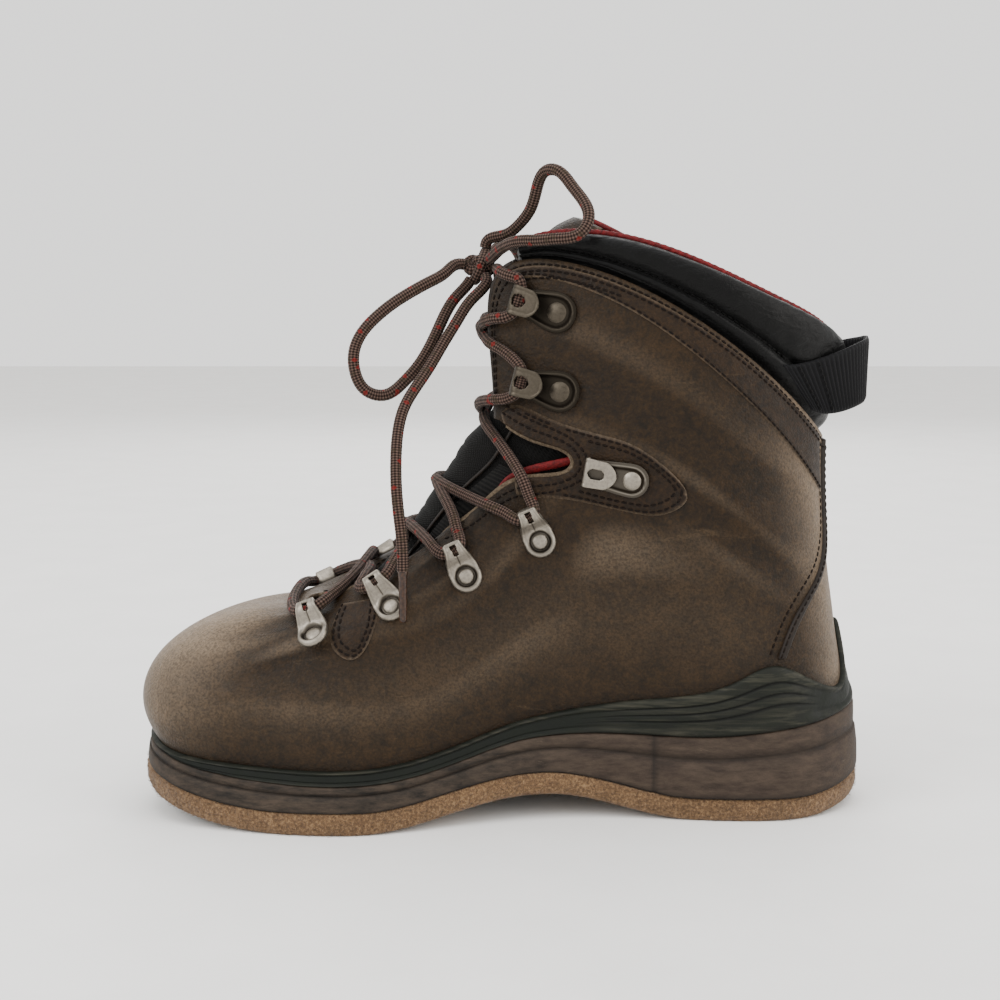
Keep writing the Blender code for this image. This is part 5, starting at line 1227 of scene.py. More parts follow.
def collarFrame(line):
    along = topEdge(line + 0.05) - topEdge(line - 0.05)
    outwards = np.array([along[1], -along[0], 0.0])
    return topEdge(line), outwards / np.linalg.norm(outwards)


def padPoint(line, out, up):
    edge, outwards = collarFrame(line)
    return edge + outwards * out + np.array([0, 0, up])


def padValues(line):
    fromToe = min(line, lines - line)
    rise, thick, lean = naturalSpline([row[0] for row in padRows], [row[1:] for row in padRows])(fromToe)
    return rise * pad["rise"], thick * pad["thickness"], lean * pad["thickness"]


def padLoop(line):  # the closed outline of the pad across the collar
    rise, thick, lean = padValues(line)
    edge, inside = float(topEdge(line)[2]), -(last["wall"] + pad["fit"])
    section = [offUpper(line, riseAt(line, edge - pad["tuck"] * share), inside) for share in (1.0, 0.5)]
    for out, up in padSection:
        base = inside * max(0.0, 1 - 4 * up) if out > -0.5 else inside
        section.append(padPoint(line, base + out * thick + lean * up ** 2, up * rise + last["gap"]))
    section.append(offUpper(line, riseAt(line, edge - pad["tuck"]), inside - thick * 0.55))
    return ringSpline(section)(np.linspace(0, len(section), pad["points"], endpoint=False))


def makePad():
    where = np.linspace(padRows[0][0], lines - padRows[0][0], pad["sections"])
    sections = np.array([padLoop(float(line)) for line in where])
    middle = sections.mean(axis=1, keepdims=True)
    outwards = sections - middle
    outwards /= np.linalg.norm(outwards, axis=2, keepdims=True)
    run = np.concatenate([[0], np.cumsum(np.linalg.norm(np.diff(middle[:, 0], axis=0), axis=1))])
    turn = np.linspace(0, 1, pad["points"], endpoint=False)
    # small creases that cross the rolls and deepen towards the groove, uneven along the collar
    drift = 9 * np.sin(run[:, None] / (23 * mm))
    slack = sum(np.sin(run[:, None] / size / mm + drift + turn[None, :] * twist)
                for size, twist in ((2.1, 14), (3.4, -9), (5.2, 6))) / 3
    groove = bell(turn, 0.40, 0.09)[None, :]
    patchy = 0.5 + 0.5 * np.sin(run / (17 * mm) + 1.0)[:, None]
    share = np.linspace(0, 1, len(where))[:, None]
    fade = ease(0, 0.02, share) * ease(1, 0.98, share)
    depth = (slack * (0.16 + 0.55 * groove * patchy) - 0.15) * mm * fade
    thing = loft("padded_collar", sections + outwards * depth[..., None])
    dress(thing, padCloth, "padding", "collar_pad")


def makePadSeams():  # the stitched groove between the rolls, and the red piping on the inner rim
    groove, rim, (outGroove, up) = [], [], padGroove
    for line in np.linspace(7.45, lines - 7.45, 420):
        rise, thick, lean = padValues(float(line))
        out = outGroove * thick + lean * up ** 2 + 0.15 * mm
        groove.append(padPoint(line, out, up * rise + last["gap"]))
    groove = smoothPath(groove[::3], 0.5 * mm)
    store = ([], [])
    gap = int(round(stitch["pitch"] / (0.5 * mm)))
    for k in range(2, len(groove) - gap, gap):
        places = [groove[k], groove[k + 2], groove[k + 5]]
        out = np.array([0.15, math.copysign(1.0, groove[k][1]), 0.25])
        if groove[k][0] > 130 * mm:
            out = np.array([1.0, groove[k][1] / (40 * mm), 0.2])
        addStitch(places, out / np.linalg.norm(out), store)
    dress(newMesh("collar_groove_stitches", *store), blackThread, "padding")
    for line in np.linspace(7.2, lines - 7.2, 260):
        rise, thick, lean = padValues(float(line))
        rim.append(padPoint(line, lean - 0.40 * thick, rise + pad["piping"] * 0.8))
    path = smoothPath(rim[::4], 0.7 * mm)

    def twist(run, turn):  # the cord's twist shows through its cover
        return 0.10 * mm * np.sin(2 * math.pi * run / (3.2 * mm) + 2 * turn)

    cord = sweep("collar_piping_cord", path, pad["piping"], 14, relief=twist)
    dress(cord, piping, "red_piping", "collar_piping")


def makePullLoop():
    knots = [row[0] for row in loopRows]
    table = naturalSpline(knots, [row[1:] for row in loopRows])
    half = []
    for line in np.linspace(knots[0], knots[-1], 150):
        up, out, tilt = table(line)
        _, outwards = collarFrame(line)
        backwards = np.array([-outwards[1], outwards[0], 0.0])
        middle = padPoint(line, out * webbing["reach"], up * pad["rise"])
        tilt = math.radians(tilt)
        upwards = np.array([0, 0, math.cos(tilt)]) - backwards * math.sin(tilt)
        half.append((middle, outwards, upwards))
    mirror = np.array([1, -1, 1])
    whole = half + [tuple(v * mirror for v in row) for row in half[-2::-1]]
    run = np.concatenate([[0], np.cumsum([np.linalg.norm(b[0] - a[0]) for a, b in zip(whole, whole[1:])])])
    count = int(run[-1] / (webbing["rib"] / 6))
    places = np.linspace(0, run[-1], count)
    rows = [np.stack([np.interp(places, run, np.array([row[k][j] for row in whole])) for j in range(3)], 1)
            for k in range(3)]
    across = np.concatenate([np.linspace(-0.5, 0.5, 22), np.linspace(0.5, -0.5, 22)])
    front = np.arange(44) < 22
    rib = np.cos(2 * math.pi * places / webbing["rib"])
    sections, tone = [], []
    for middle, outwards, upwards, ridge in zip(*rows, rib):
        edge = np.clip((0.5 - np.abs(across)) * webbing["width"] / (0.7 * mm), 0, 1)
        selvage = 1 - bell(np.abs(across), 0.455, 0.014) * 0.5
        inset = (1 - edge) * 0.5 * mm - webbing["relief"] * ridge * selvage * edge
        away = np.where(front, webbing["thick"] - inset, inset)
        sections.append(middle + outwards * away[:, None] + upwards * (across * webbing["width"])[:, None])
        # painted highlight on the rib crests and painted shade in the troughs
        tone.append(0.5 + 0.5 * ridge * selvage)
    thing = loft("pull_loop_webbing", sections)
    addShade(thing, "rib", np.array(tone).ravel())
    dress(thing, tape, "webbing", "pull_loop")
    store = ([], [])  # the two cross-stitched rows that hold each end
    for farEnd in (False, True):
        for place in (0.010, 0.026):
            k = int(place * count / (run[-1] / 0.12) * 4) + 3
            k = count - 1 - k if farEnd else k
            middle, outwards, upwards = (rows[j][k] for j in range(3))
            top = middle + outwards * (webbing["thick"] + 0.25 * mm)
            for share in np.arange(-0.44, 0.44, 0.115):
                ends = [top + upwards * webbing["width"] * (share + s) for s in (0, 0.045, 0.09)]
                addStitch(ends, outwards, store)
    dress(newMesh("pull_loop_stitches", *store), blackThread, "webbing")


makePad()
makePadSeams()
makePullLoop()
print("collar made")


# Tongue: padded cloth with a bound edge, a leather-faced top and a ribbed strip on each side

tongue = {"thick": 5 * mm, "facing": 1.4 * mm, "fit": 0.8 * mm, "facingStart": 9.0, "rows": 190,
          "columns": 58, "edge": 0.10}
tongueRows = ((-0.276, -0.040, -0.262, -0.060, 0.110), (-0.191, 0.056, -0.166, -0.030, 0.250),
              (-0.131, 0.203, -0.084, 0.115, 0.320), (-0.109, 0.284, -0.041, 0.190, 0.316),
              (-0.080, 0.378, 0.004, 0.261, 0.342), (-0.058, 0.456, 0.080, 0.340, 0.360),
              (-0.040, 0.508, 0.103, 0.412, 0.385), (-0.008, 0.590, 0.110, 0.550, 0.360),
              (0.006, 0.740, 0.115, 0.700, 0.325), (0.026, 0.930, 0.130, 0.880, 0.290),
              (0.062, 1.070, 0.145, 0.990, 0.250), (0.088, 1.118, 0.155, 1.040, 0.238),
              (0.109, 1.138, 0.165, 1.072, 0.226))  # centre x, z and edge x, z as shares, half width
redStrap = ((0, 26.5, 141), (4, 28, 146.5), (10, 29.5, 150), (18, 31, 152.5), (27, 31.5, 154.5),
            (33, 31, 156))  # points in mm
# Folds at the ankle bend: place on the tongue, slant, half width
tongueFolds = ((3.1, 0.25, 0.10), (3.9, -0.3, 0.12), (4.7, 0.2, 0.12), (5.4, -0.2, 0.14))
tongueShape = naturalSpline(np.arange(len(tongueRows)), tongueRows)


def tonguePlace(position, turn, inset):
    centreX, centreZ, edgeX, edgeZ, half = tongueShape(position)
    centre = np.array([centreX * last["length"], heightAt(centreZ)])
    edge = np.array([edgeX * last["length"], heightAt(edgeZ)])
    depth = np.linalg.norm(edge - centre)
    inwards = (depth - inset) * (1 - math.cos(turn)) + inset
    x, z = centre + (edge - centre) / depth * inwards
    return np.array([x, (half * last["collarWidth"] - last["wall"] - inset) * math.sin(turn), z])


def tonguePuff(position, turn):  # padding in channels, soft folds at the ankle bend, drawn in at its edge
    share = turn / (math.pi / 2)
    channel = -0.7 * mm * bell(abs(share), 0.52, 0.035) - 0.5 * mm * bell(abs(share), 0.90, 0.03)
    folds = sum(0.55 * mm * math.exp(-((position - at - slant * share) / wide) ** 2)
                for at, slant, wide in tongueFolds)
    swell = 0.35 * mm * math.cos(share * math.pi * 2) * (1 if position < 9 else 0)
    return channel - folds + swell


def makeTongue():
    turns = np.linspace(-math.pi / 2, math.pi / 2, tongue["columns"])
    thin = (1 - np.minimum(1, (math.pi / 2 - np.abs(turns)) / tongue["edge"])) ** 2
    sections = []
    for position in np.linspace(0, len(tongueRows) - 1, tongue["rows"]):
        outer = [tonguePlace(position, t, 0.35 * mm - tonguePuff(position, t) * 0.8 + 1.6 * mm * e)
                 for t, e in zip(turns, thin)]
        inner = [tonguePlace(position, t, tongue["thick"] - 1.4 * mm * e) for t, e in zip(turns, thin)]
        sections.append(outer + inner[::-1])
    thing = loft("tongue_padded", sections)
    dress(thing, tongueCloth, "tongue_cloth", "tongue")


def tongueTape(name, side):
    # a ribbed tape up the tongue's side, between two turns given as shares of its half width
    rows, columns, lift, thick, rib = 168, 14, 0.1 * mm, 0.5 * mm, 0.16 * mm
    turns = np.linspace(side * 0.56, side * 0.88, columns) * math.pi / 2
    edge = np.clip(np.minimum(np.arange(columns), np.arange(columns)[::-1]) / 1.5, 0, 1)
    ridges = np.cos(2 * math.pi * np.arange(rows) / 5)
    sections = []
    for k, position in enumerate(np.linspace(1.6, 5.3, rows)):
        end = min(1.0, min(k, rows - 1 - k) / 3)
        tall = lift + thick * np.sqrt(edge) * end + rib * ridges[k]
        outer = [tonguePlace(position, turn, -high) for turn, high in zip(turns, tall)]
        inner = [tonguePlace(position, turn, -lift + 1.1 * mm) for turn in turns]
        sections.append(outer + inner[::-1])
    thing = loft(name, sections)
    # painted highlight on the rib crests and painted shade in the troughs
    addShade(thing, "rib", np.repeat(0.5 + 0.5 * ridges, 2 * columns))
    dress(thing, greyTape, "tongue_cloth")


def tongueCord(name, positions, share, lift, radius):
    path = [tonguePlace(p, share * math.pi / 2, -lift) for p in positions]
    dress(sweep(name, smoothPath(path, 1.0 * mm), radius, 12), binding, "tongue_cloth")


def makeTongueTrim():
    top = len(tongueRows) - 1
    for side, word in bothSides:
        tongueCord("tongue_edge_binding_" + word, np.linspace(1.2, top - 0.1, 40), side * 0.985, -1.6 * mm,
                   1.9 * mm)
        tongueTape("tongue_ribbed_tape_" + word, side)
        strap = smoothPath([(x * mm, side * y * mm, z * mm) for x, y, z in redStrap], 1.0 * mm)
        dress(sweep("tongue_red_strap_" + word, strap, 2.3 * mm, 14, 0.6), piping, "red_piping")
        tongueCord("tongue_seam_cord_" + word, np.linspace(1.2, 8.8, 60), side * 0.50, 0.0, 0.75 * mm)
    # the leather face on the top, in two halves with a seam down the middle
    sections, tone = [], []
    turns = np.linspace(-math.pi / 3, math.pi / 3, 56)
    for k, position in enumerate(np.linspace(tongue["facingStart"], top, 70)):
        end = min(1.0, min(k, 69 - k) / 4)
        share = np.clip(np.minimum(np.arange(56), np.arange(56)[::-1]) / 3, 0, 1)
        tall = tongue["fit"] * 0.4 + (tongue["facing"] + 0.4 * mm) * np.sqrt(share) * end
        tall = tall - 0.7 * mm * bell(turns, 0.0, 0.035) + 0.25 * mm * bell(np.abs(turns), 0.10, 0.05)
        outer = [tonguePlace(position, t, -h) for t, h in zip(turns, tall)]
        inner = [tonguePlace(position, t, 0.6 * mm) for t in turns]
        sections.append(outer + inner[::-1])
        tone.append(np.concatenate([1 - share, np.zeros(56)]) * 0.5)
    facing = loft("tongue_leather_face", sections)
    # paler towards its edges, rubbed wear with a painted highlight, and a little darker there too
    addShade(facing, "wear_and_sheen", np.array(tone).ravel())
    addShade(facing, "grime_and_shade", np.array(tone).ravel() * 0.2)
    dress(facing, trimLeather, "leather", "tongue_facing")
    turns = np.linspace(-math.pi / 2, math.pi / 2, 9)
    rim, below = (np.array([tonguePlace(position, turn, tongue["thick"] / 2) for turn in turns])
                  for position in (top, top - 0.2))
    lift = (rim - below) / np.linalg.norm(rim - below, axis=1, keepdims=True)
    path = smoothPath(rim + lift * (pad["piping"] + tongue["fit"] * 0.2), 0.7 * mm)
    dress(sweep("tongue_rim_piping", path, pad["piping"], 14), piping, "red_piping", "tongue_piping")


def tongueGusset():  # the dark cloth folded between tongue and upper, seen in the notch
    back = np.array([5.5 * mm, 0.0, -1.5 * mm])
    for side, word in bothSides:
        sections, out = [], np.array([0, side * mm, 0])
        for position in np.linspace(3.2, 7.2, 60):
            a = tonguePlace(position, side * 1.35, 1.2 * mm)
            b = tonguePlace(position, side * 1.54, 1.0 * mm)
            fold = [a, b, b + back + out * 0.8, b + back * 1.9, b + back * 1.9 - out * 1.2, a + back - out]
            sections.append(ringSpline(fold)(np.linspace(0, 6, 24, endpoint=False)))
        dress(loft("tongue_gusset_" + word, sections), tongueCloth, "tongue_cloth")


makeTongue()
makeTongueTrim()
tongueGusset()
print("tongue made")


# Lace fittings: cast rings, stamped hooks and the ankle lock

fitting = {"metal": 1.1 * mm, "lace": 5 * mm, "bore": 3.0 * mm, "ringLength": 15.5 * mm,
           "ringRadius": 6.7 * mm, "ringTop": 9.0 * mm, "rivet": 3.8 * mm, "dome": 1.35 * mm,
           "hookReach": 20.5 * mm, "hookWidth": 12.5 * mm,
           "hookPlate": 8.6 * mm, "hookMouth": 5.6 * mm, "hookBack": 10.5 * mm, "hookRivet": 4.5 * mm,
           "lockPlate": 7.2 * mm, "lockMouth": 1.2 * mm, "lockBack": 12.5 * mm}
ringRows = (("lace_ring_1", 3.15, 0.49, 2.25, 0.80), ("lace_ring_2", 3.98, 0.54, 3.55, 0.70),
            ("lace_ring_3", 4.92, 0.50, 4.61, 0.66), ("lace_ring_4", 6.04, 0.43, 5.87, 0.54))
hookRows = (("speed_hook_1", 7.01, 0.69, 6.50, 0.76), ("speed_hook_2", 7.31, 0.87, 6.96, 0.91))
lockRow = ("ankle_lock", 7.48, 0.52, 7.07, 0.52)  # name, rivet line and rise, tip line and rise
tunnelY = fitting["ringLength"] - fitting["metal"] - fitting["bore"]
tunnelZ = fitting["metal"] + fitting["bore"]


def surfaceNear(line, rise, offset):
    step = 0.01
    slopes = np.stack([upperPoint(line + step, rise) - upperPoint(line - step, rise),
                       upperPoint(line, rise + step) - upperPoint(line, rise - step)], axis=1) / (2 * step)
    along, up = np.linalg.lstsq(slopes, np.array(offset), rcond=None)[0]
    return upperPoint(line + along, np.clip(rise + up, 0, 1))


def seatOnUpper(row, side, reach, half, proud=0.0):
    _, rivetLine, rivetRise, tipLine, tipRise = row
    rivetLine, tipLine = onSide(rivetLine, side), onSide(tipLine, side)
    start, end = Vector(upperPoint(rivetLine, rivetRise)), Vector(upperPoint(tipLine, tipRise))
    normal = Vector(upperNormal((rivetLine + tipLine) / 2, (rivetRise + tipRise) / 2))
    along = end - start
    along -= normal * along.dot(normal)
    along.normalize()
    across = along.cross(normal)
    swell = 0.0
    for sideways in (-1, 0, 1):
        for share in (-half / reach, 0, 0.5, 1.0):
            offset = across * sideways * half * (1 - 0.4 * share) + along * share * reach
            here = Vector(surfaceNear(rivetLine, rivetRise, offset))
            swell = max(swell, (here - start).dot(normal))
    place = Matrix((across, along, normal)).transposed().to_4x4()
    place.translation = start + normal * (swell + proud + last["gap"])
    return place


def ringMesh():
    # a casting drawn as a height over its plate: dished round the rivet, rising to the lace tunnel
    radius, length, top = fitting["ringRadius"], fitting["ringLength"], fitting["ringTop"] / 2
    crest, low = 2 * (fitting["bore"] + fitting["metal"]), 2 * fitting["metal"]
    count, wide = 80, 41
    ys = -radius + (length + radius) * (1 - np.cos(np.linspace(0, math.pi, count))) / 2
    tall = naturalSpline(
        [-radius, -radius * 0.7, 0, radius * 0.8, tunnelY - 2.6 * mm, tunnelY - 0.2 * mm, length],
        [low * 0.85, low, low, low * 1.15, crest * 0.80, crest * 0.985, crest * 0.86])(ys)
    body = naturalSpline([0, radius * 0.6, radius * 1.2, tunnelY, length],
                         [radius, radius * 0.97, radius * 0.84, top * 1.06, top * 0.99])(np.maximum(ys, 0))
    half = np.where(ys < 0, np.sqrt(np.maximum(radius ** 2 - ys ** 2, 0)), body)
    half *= np.sqrt(1 - np.clip((ys - (length - 1.3 * mm)) / (1.42 * mm), 0, 1) ** 2)
    x = np.maximum(half, 0.05 * mm)[:, None] * np.sin(np.linspace(-math.pi / 2, math.pi / 2, wide))[None, :]
    y = ys[:, None] + 0 * x
    away = np.hypot(x, y)
    inset = np.minimum(np.maximum(half, 0)[:, None] - np.abs(x),
                       np.minimum(ys + radius, length - ys)[:, None])
    inset = np.where(y < 0, radius - away, inset)
    share = np.clip(inset / (1.0 * mm), 0, 1)
    z = tall[:, None] * (0.42 + 0.58 * np.sqrt(1 - (1 - share) ** 2))
    z -= 0.30 * mm * bell(inset, 1.5 * mm, 0.35 * mm) * (y > 5.5 * mm)
    dish = 1 - ease(4.15 * mm, 4.75 * mm, away)
    z = z * (1 - dish) + (0.45 * mm) * dish
    z += 0.28 * mm * bell(away, 5.2 * mm, 0.45 * mm)
    domed = fitting["dome"] * np.sqrt(np.maximum(0, 1 - (away / fitting["rivet"] / 0.92) ** 2))
    z += domed * (dish > 0.5)
    slot = (np.abs(x) < 1.1 * mm) & (np.abs(y - tunnelY) < 2.2 * mm)
    z = np.where(slot, z - 2.0 * mm, z)
    slotStart = 1 - ease(tunnelY - 2.2 * mm, tunnelY - 1.8 * mm, y)
    groove = bell(x, 0, 0.42 * mm) * ease(4.9 * mm, 5.6 * mm, y) * slotStart
    z -= 0.45 * mm * groove
    thing = closedSheet("ring_casting", np.stack([x, y, z], -1), np.stack([x, y, 0 * z], -1))
    hollow = np.clip(slot + bell(away, 4.1 * mm, 0.8 * mm) + groove * 0.9
                     + 0.35 * bell(inset, 1.6 * mm, 0.5 * mm), 0, 1)
    addShade(thing, "hollow", np.concatenate([hollow.ravel(), np.full(count * wide, 0.6)]))
    cone = bmesh.new()
    bmesh.ops.create_cone(cone, cap_ends=True, segments=28, radius1=fitting["bore"], radius2=fitting["bore"],
                          depth=30 * mm)
    tool = newMesh("tunnel_tool", [], [])
    cone.to_mesh(tool.data)
    cone.free()
    tool.matrix_world = Matrix.Translation((0, tunnelY, tunnelZ)) @ Matrix.Rotation(math.pi / 2, 4, "Y")
    carve(thing, tool)
    bpy.data.objects.remove(tool, do_unlink=True)
    thing.data.materials.append(ringNickel)
    mesh = thing.data
    bpy.data.objects.remove(thing, do_unlink=True)
    return mesh


def hookMesh(plate, mouth, back, rivetSize, material):
    # sheet folded at the throat end: a drop-shaped riveted plate, a bend and a slotted head over the lace
    metal, half = fitting["metal"], fitting["hookWidth"] / 2
    bend = (mouth + metal) / 2
    centreY, centreZ = fitting["hookReach"] - bend - metal / 2, metal / 2 + bend
    path, halves, kinds = [], [], []  # kind 0 is the plate, 1 the bend, 2 the head
    for y in np.linspace(-plate, centreY, 44):  # round behind the rivet, narrowing to the bend
        path.append((y, metal / 2))
        ahead = plate + (half * 0.92 - plate) * float(ease(0, centreY, y))
        halves.append(max(math.sqrt(max(plate ** 2 - y ** 2, 1e-9)) if y < 0 else ahead, 0.15 * mm))
        kinds.append(0)
    for turn in np.linspace(0, math.pi, 22)[1:]:
        path.append((centreY + bend * math.sin(turn), centreZ - bend * math.cos(turn)))
        halves.append(half)
        kinds.append(1)
    for share in np.linspace(0, 1, 34)[1:]:
        path.append((centreY - back * share, centreZ + bend))
        tip = max(0.0, (share - 0.62) / 0.38)
        tapered = (1 - 0.10 * share) * math.sqrt(max(1 - tip ** 2.6, 0.0)) * (1 - 0.35 * tip)
        halves.append(max(half * tapered, 0.2 * mm))
        kinds.append(2)
    path, halves, kinds = np.array(path), np.array(halves), np.array(kinds)
    onPlate = (kinds == 0)[:, None]
    along = np.gradient(path, axis=0)
    along /= np.linalg.norm(along, axis=1, keepdims=True)
    out = np.column_stack([along[:, 1], -along[:, 0]])  # the face that ends up outside
    out = np.where(onPlate, np.array([0, 1.0]), out)
    wide = 35
    xs = halves[:, None] * np.sin(np.linspace(-math.pi / 2, math.pi / 2, wide))[None, :]
    run = np.concatenate([[0], np.cumsum(np.linalg.norm(np.diff(path, axis=0), axis=1))])
    ends = np.minimum(run, run[-1] - run)[:, None]
    inset = np.minimum(halves[:, None] - np.abs(xs), ends + 0.35 * mm)
    y0 = path[:, 0][:, None] + 0 * xs
    inset = np.where(onPlate & (y0 < 0), plate - np.hypot(xs, y0), inset)
    rounded = np.sqrt(np.clip(1 - (1 - np.clip(inset / (0.5 * mm), 0, 1)) ** 2, 0, 1))
    raised = 0.22 * mm * bell(inset, 1.5 * mm, 0.28 * mm) * onPlate
    press = 0.16 * mm * bell(inset, 1.7 * mm, 0.35 * mm) * ~onPlate
    thick = metal * (0.35 + 0.65 * rounded) / 2
    proud = thick + raised - press
    outer = np.stack([xs, y0 + out[:, :1] * proud, path[:, 1:] + out[:, 1:] * proud], -1)
    inner = np.stack([xs, y0 - out[:, :1] * thick, path[:, 1:] - out[:, 1:] * thick], -1)
    # the plate's upper face is the head's under face: one side of the sheet is kept together
    top, under = (np.where(onPlate[..., None], *pair) for pair in ((inner, outer), (outer, inner)))
    count, total = len(path), len(path) * wide
    headRun = run - run[kinds == 2][0]
    slotLength, slotHalf = (7.3 * mm, 2.8 * mm) if mouth > 3 * mm else (7.6 * mm, 2.6 * mm)
    start = -slotLength * 0.42 if mouth > 3 * mm else -0.5 * mm
    middle = start + slotLength / 2
    reach = np.clip(np.abs(headRun[:, None] - middle) - (slotLength / 2 - slotHalf), 0, None)
    hole = (np.hypot(reach, xs) < slotHalf) & ~onPlate
    faces, seen = [], set()
    for r in range(count - 1):
        for c in range(wide - 1):
            if hole[r:r + 2, c:c + 2].all():
                continue
            seen.add((r, c))
            a = r * wide + c
            faces.append((a, a + 1, a + wide + 1, a + wide))
            faces.append((total + a, total + a + wide, total + a + wide + 1, total + a + 1))
    for r, c in seen:
        a = r * wide + c
        for (dr, dc), (p, q) in (((-1, 0), (a + 1, a)), ((1, 0), (a + wide, a + wide + 1)),
                                 ((0, -1), (a, a + wide)), ((0, 1), (a + wide + 1, a + 1))):
            if (r + dr, c + dc) not in seen:
                faces.append((p, q, total + q, total + p))
    points = np.concatenate([top.reshape(-1, 3), under.reshape(-1, 3)])
    used = sorted({k for face in faces for k in face})
    index = {old: new for new, old in enumerate(used)}
    faces = [tuple(index[k] for k in face) for face in faces]
    sheet = outwardFaces(newMesh("sheet", points[used], faces))
    dark = np.where(onPlate, 0.62 + 0.5 * bell(inset, 2.4 * mm, 0.6 * mm), 0.10)
    dark = np.clip(dark - 0.5 * bell(inset, 1.5 * mm, 0.3 * mm) * onPlate, 0, 1).ravel()
    addShade(sheet, "hollow", np.concatenate([dark, np.clip(dark + 0.2, 0, 1)])[used])
    # the rivet's domed head: share of its radius, height in mm
    rings = ((1.0, 0.0), (1.0, 0.35), (0.93, 0.62), (0.78, 1.05), (0.58, 1.38), (0.34, 1.60), (0.12, 1.68))
    sections = [[(math.cos(a) * rivetSize * s, math.sin(a) * rivetSize * s, metal * 0.5 + h * mm)
                 for a in np.linspace(0, 2 * math.pi, 36, endpoint=False)] for s, h in rings]
    head = loft("rivet_head", sections)
    addShade(head, "hollow", np.zeros(len(head.data.vertices)))
    whole = joined("hook", [sheet, head])
    whole.data.materials.append(material)
    mesh = whole.data
    bpy.data.objects.remove(whole, do_unlink=True)
    return mesh


def placeFittings():
    cast = ringMesh()
    hook = hookMesh(fitting["hookPlate"], fitting["hookMouth"], fitting["hookBack"], fitting["hookRivet"],
                    hookNickel)
    lock = hookMesh(fitting["lockPlate"], fitting["lockMouth"], fitting["lockBack"],
                    fitting["hookRivet"] * 0.9, ringNickel)
    for side, word in bothSides:
        for mesh, rows, reach, half, proud in (
                (cast, ringRows, fitting["ringLength"], fitting["ringRadius"], 0.0),
                (hook, hookRows, fitting["hookReach"], fitting["hookPlate"], 0.0),
                (lock, (lockRow,), fitting["hookReach"], fitting["lockPlate"], 1.8 * mm)):
            for row in rows:
                name = row[0] + "_" + word
                thing = bpy.data.objects.new(name + "_metal", mesh)
                bpy.context.scene.collection.objects.link(thing)
                thing.matrix_world = seatOnUpper(row, side, reach, half, proud)
                dress(thing, mesh.materials[0], "pewter", name)


placeFittings()
print("lace fittings made")


# Lace: one braided cord through every fitting, then the bow with its loops, ends and tips

lace = {"radius": 2.5 * mm, "fit": 1.2 * mm, "edge": 1.8 * mm, "sides": 16, "step": 0.6 * mm, "rounds": 12,
        "even": 0.35, "strandPoints": 13, "tipLength": 21 * mm, "tipRadius": 2.2 * mm, "relief": 0.12 * mm}
# Columns: name, upper and lower fitting, place on the tongue, spread, turn, line and rise at the leather's
# edge above and below
crossings = (("lace_cross_1", "lace_ring_2", "lace_ring_1", 1.05, 0.06, 12, 3.15, 0.97, 2.70, 0.98),
             ("lace_cross_2", "lace_ring_3", "lace_ring_2", 1.95, 0.16, 26, 4.20, 0.95, 3.85, 0.95),
             ("lace_cross_3", "lace_ring_4", "lace_ring_3", 3.55, 0.30, 40, 5.02, 0.84, 4.82, 0.88),
             ("lace_cross_4", "speed_hook_1", "lace_ring_4", 6.35, 0.22, 34, 5.75, 1.00, 6.15, 0.62),
             ("lace_cross_5", "speed_hook_2", "speed_hook_1", 7.90, 0.20, 20, 6.42, 1.00, 6.10, 1.00))
vampBar = ((1.6, 0.88), (0.8, 0.92), (0.0, 0.93), (19.2, 0.92), (18.4, 0.88))
topStrand = (9.22, 20, 6.74, 0.94)  # place on the tongue, turn, line and rise at the leather's edge
knot = {"place": (-8.4, 0.0, 237.4), "size": (6.9, 8.0, 7.6), "fit": 0.45}
knotExits = {"lace_loop_large": ((-1.0, -0.3, 0.05), (-0.55, -0.3, -0.8)),
             "lace_loop_small": ((0.45, -0.85, 0.3), (0.25, -0.2, 0.95)),
             "lace_end_near": ((0.25, -0.75, -0.6),), "lace_end_far": ((0.2, 1.0, 0.25),)}
laceRoutes = {  # the part's own points in millimetres, and how many the even path keeps
    "lace_loop_large": (((-26, -10, 232.5), (-41, -16, 224), (-54, -19, 214), (-61.5, -21, 203),
                         (-62, -22, 194), (-58, -22, 185), (-50.5, -21, 182), (-43, -20, 186),
                         (-34, -18, 196), (-27, -14, 209), (-21, -8.5, 221)), 18),
    "lace_loop_small": (((2, -22, 245), (9, -31.5, 247), (18, -37.5, 247), (27, -41.5, 248), (35, -42, 251),
                         (36, -39, 258), (30, -31, 269), (20.5, -23, 277), (16.5, -18, 272),
                         (13.5, -14, 262), (5, -8, 252)), 17),
    "lace_end_near": (((-14, -15, 220), (-23, -20, 206), (-32, -28, 191), (-40, -36, 178), (-43, -44, 160),
                       (-42.5, -50, 143), (-41, -53, 130), (-40, -54.5, 119), (-40, -55, 112)), 13),
    "lace_end_far": (((1, 23, 247), (8, 40, 244), (13, 53, 228), (15, 56, 205), (13, 57, 184), (9, 58, 163),
                      (5, 59, 144), (2, 59, 129), (1, 60, 121)), 13),
}


def evenPath(points, count):  # the part's way of spreading a route's points
    points = np.array(points, float)
    knots = np.concatenate([[0], np.cumsum(np.linalg.norm(np.diff(points, axis=0), axis=1))])
    return naturalSpline(knots, points)(np.linspace(0, knots[-1], count))


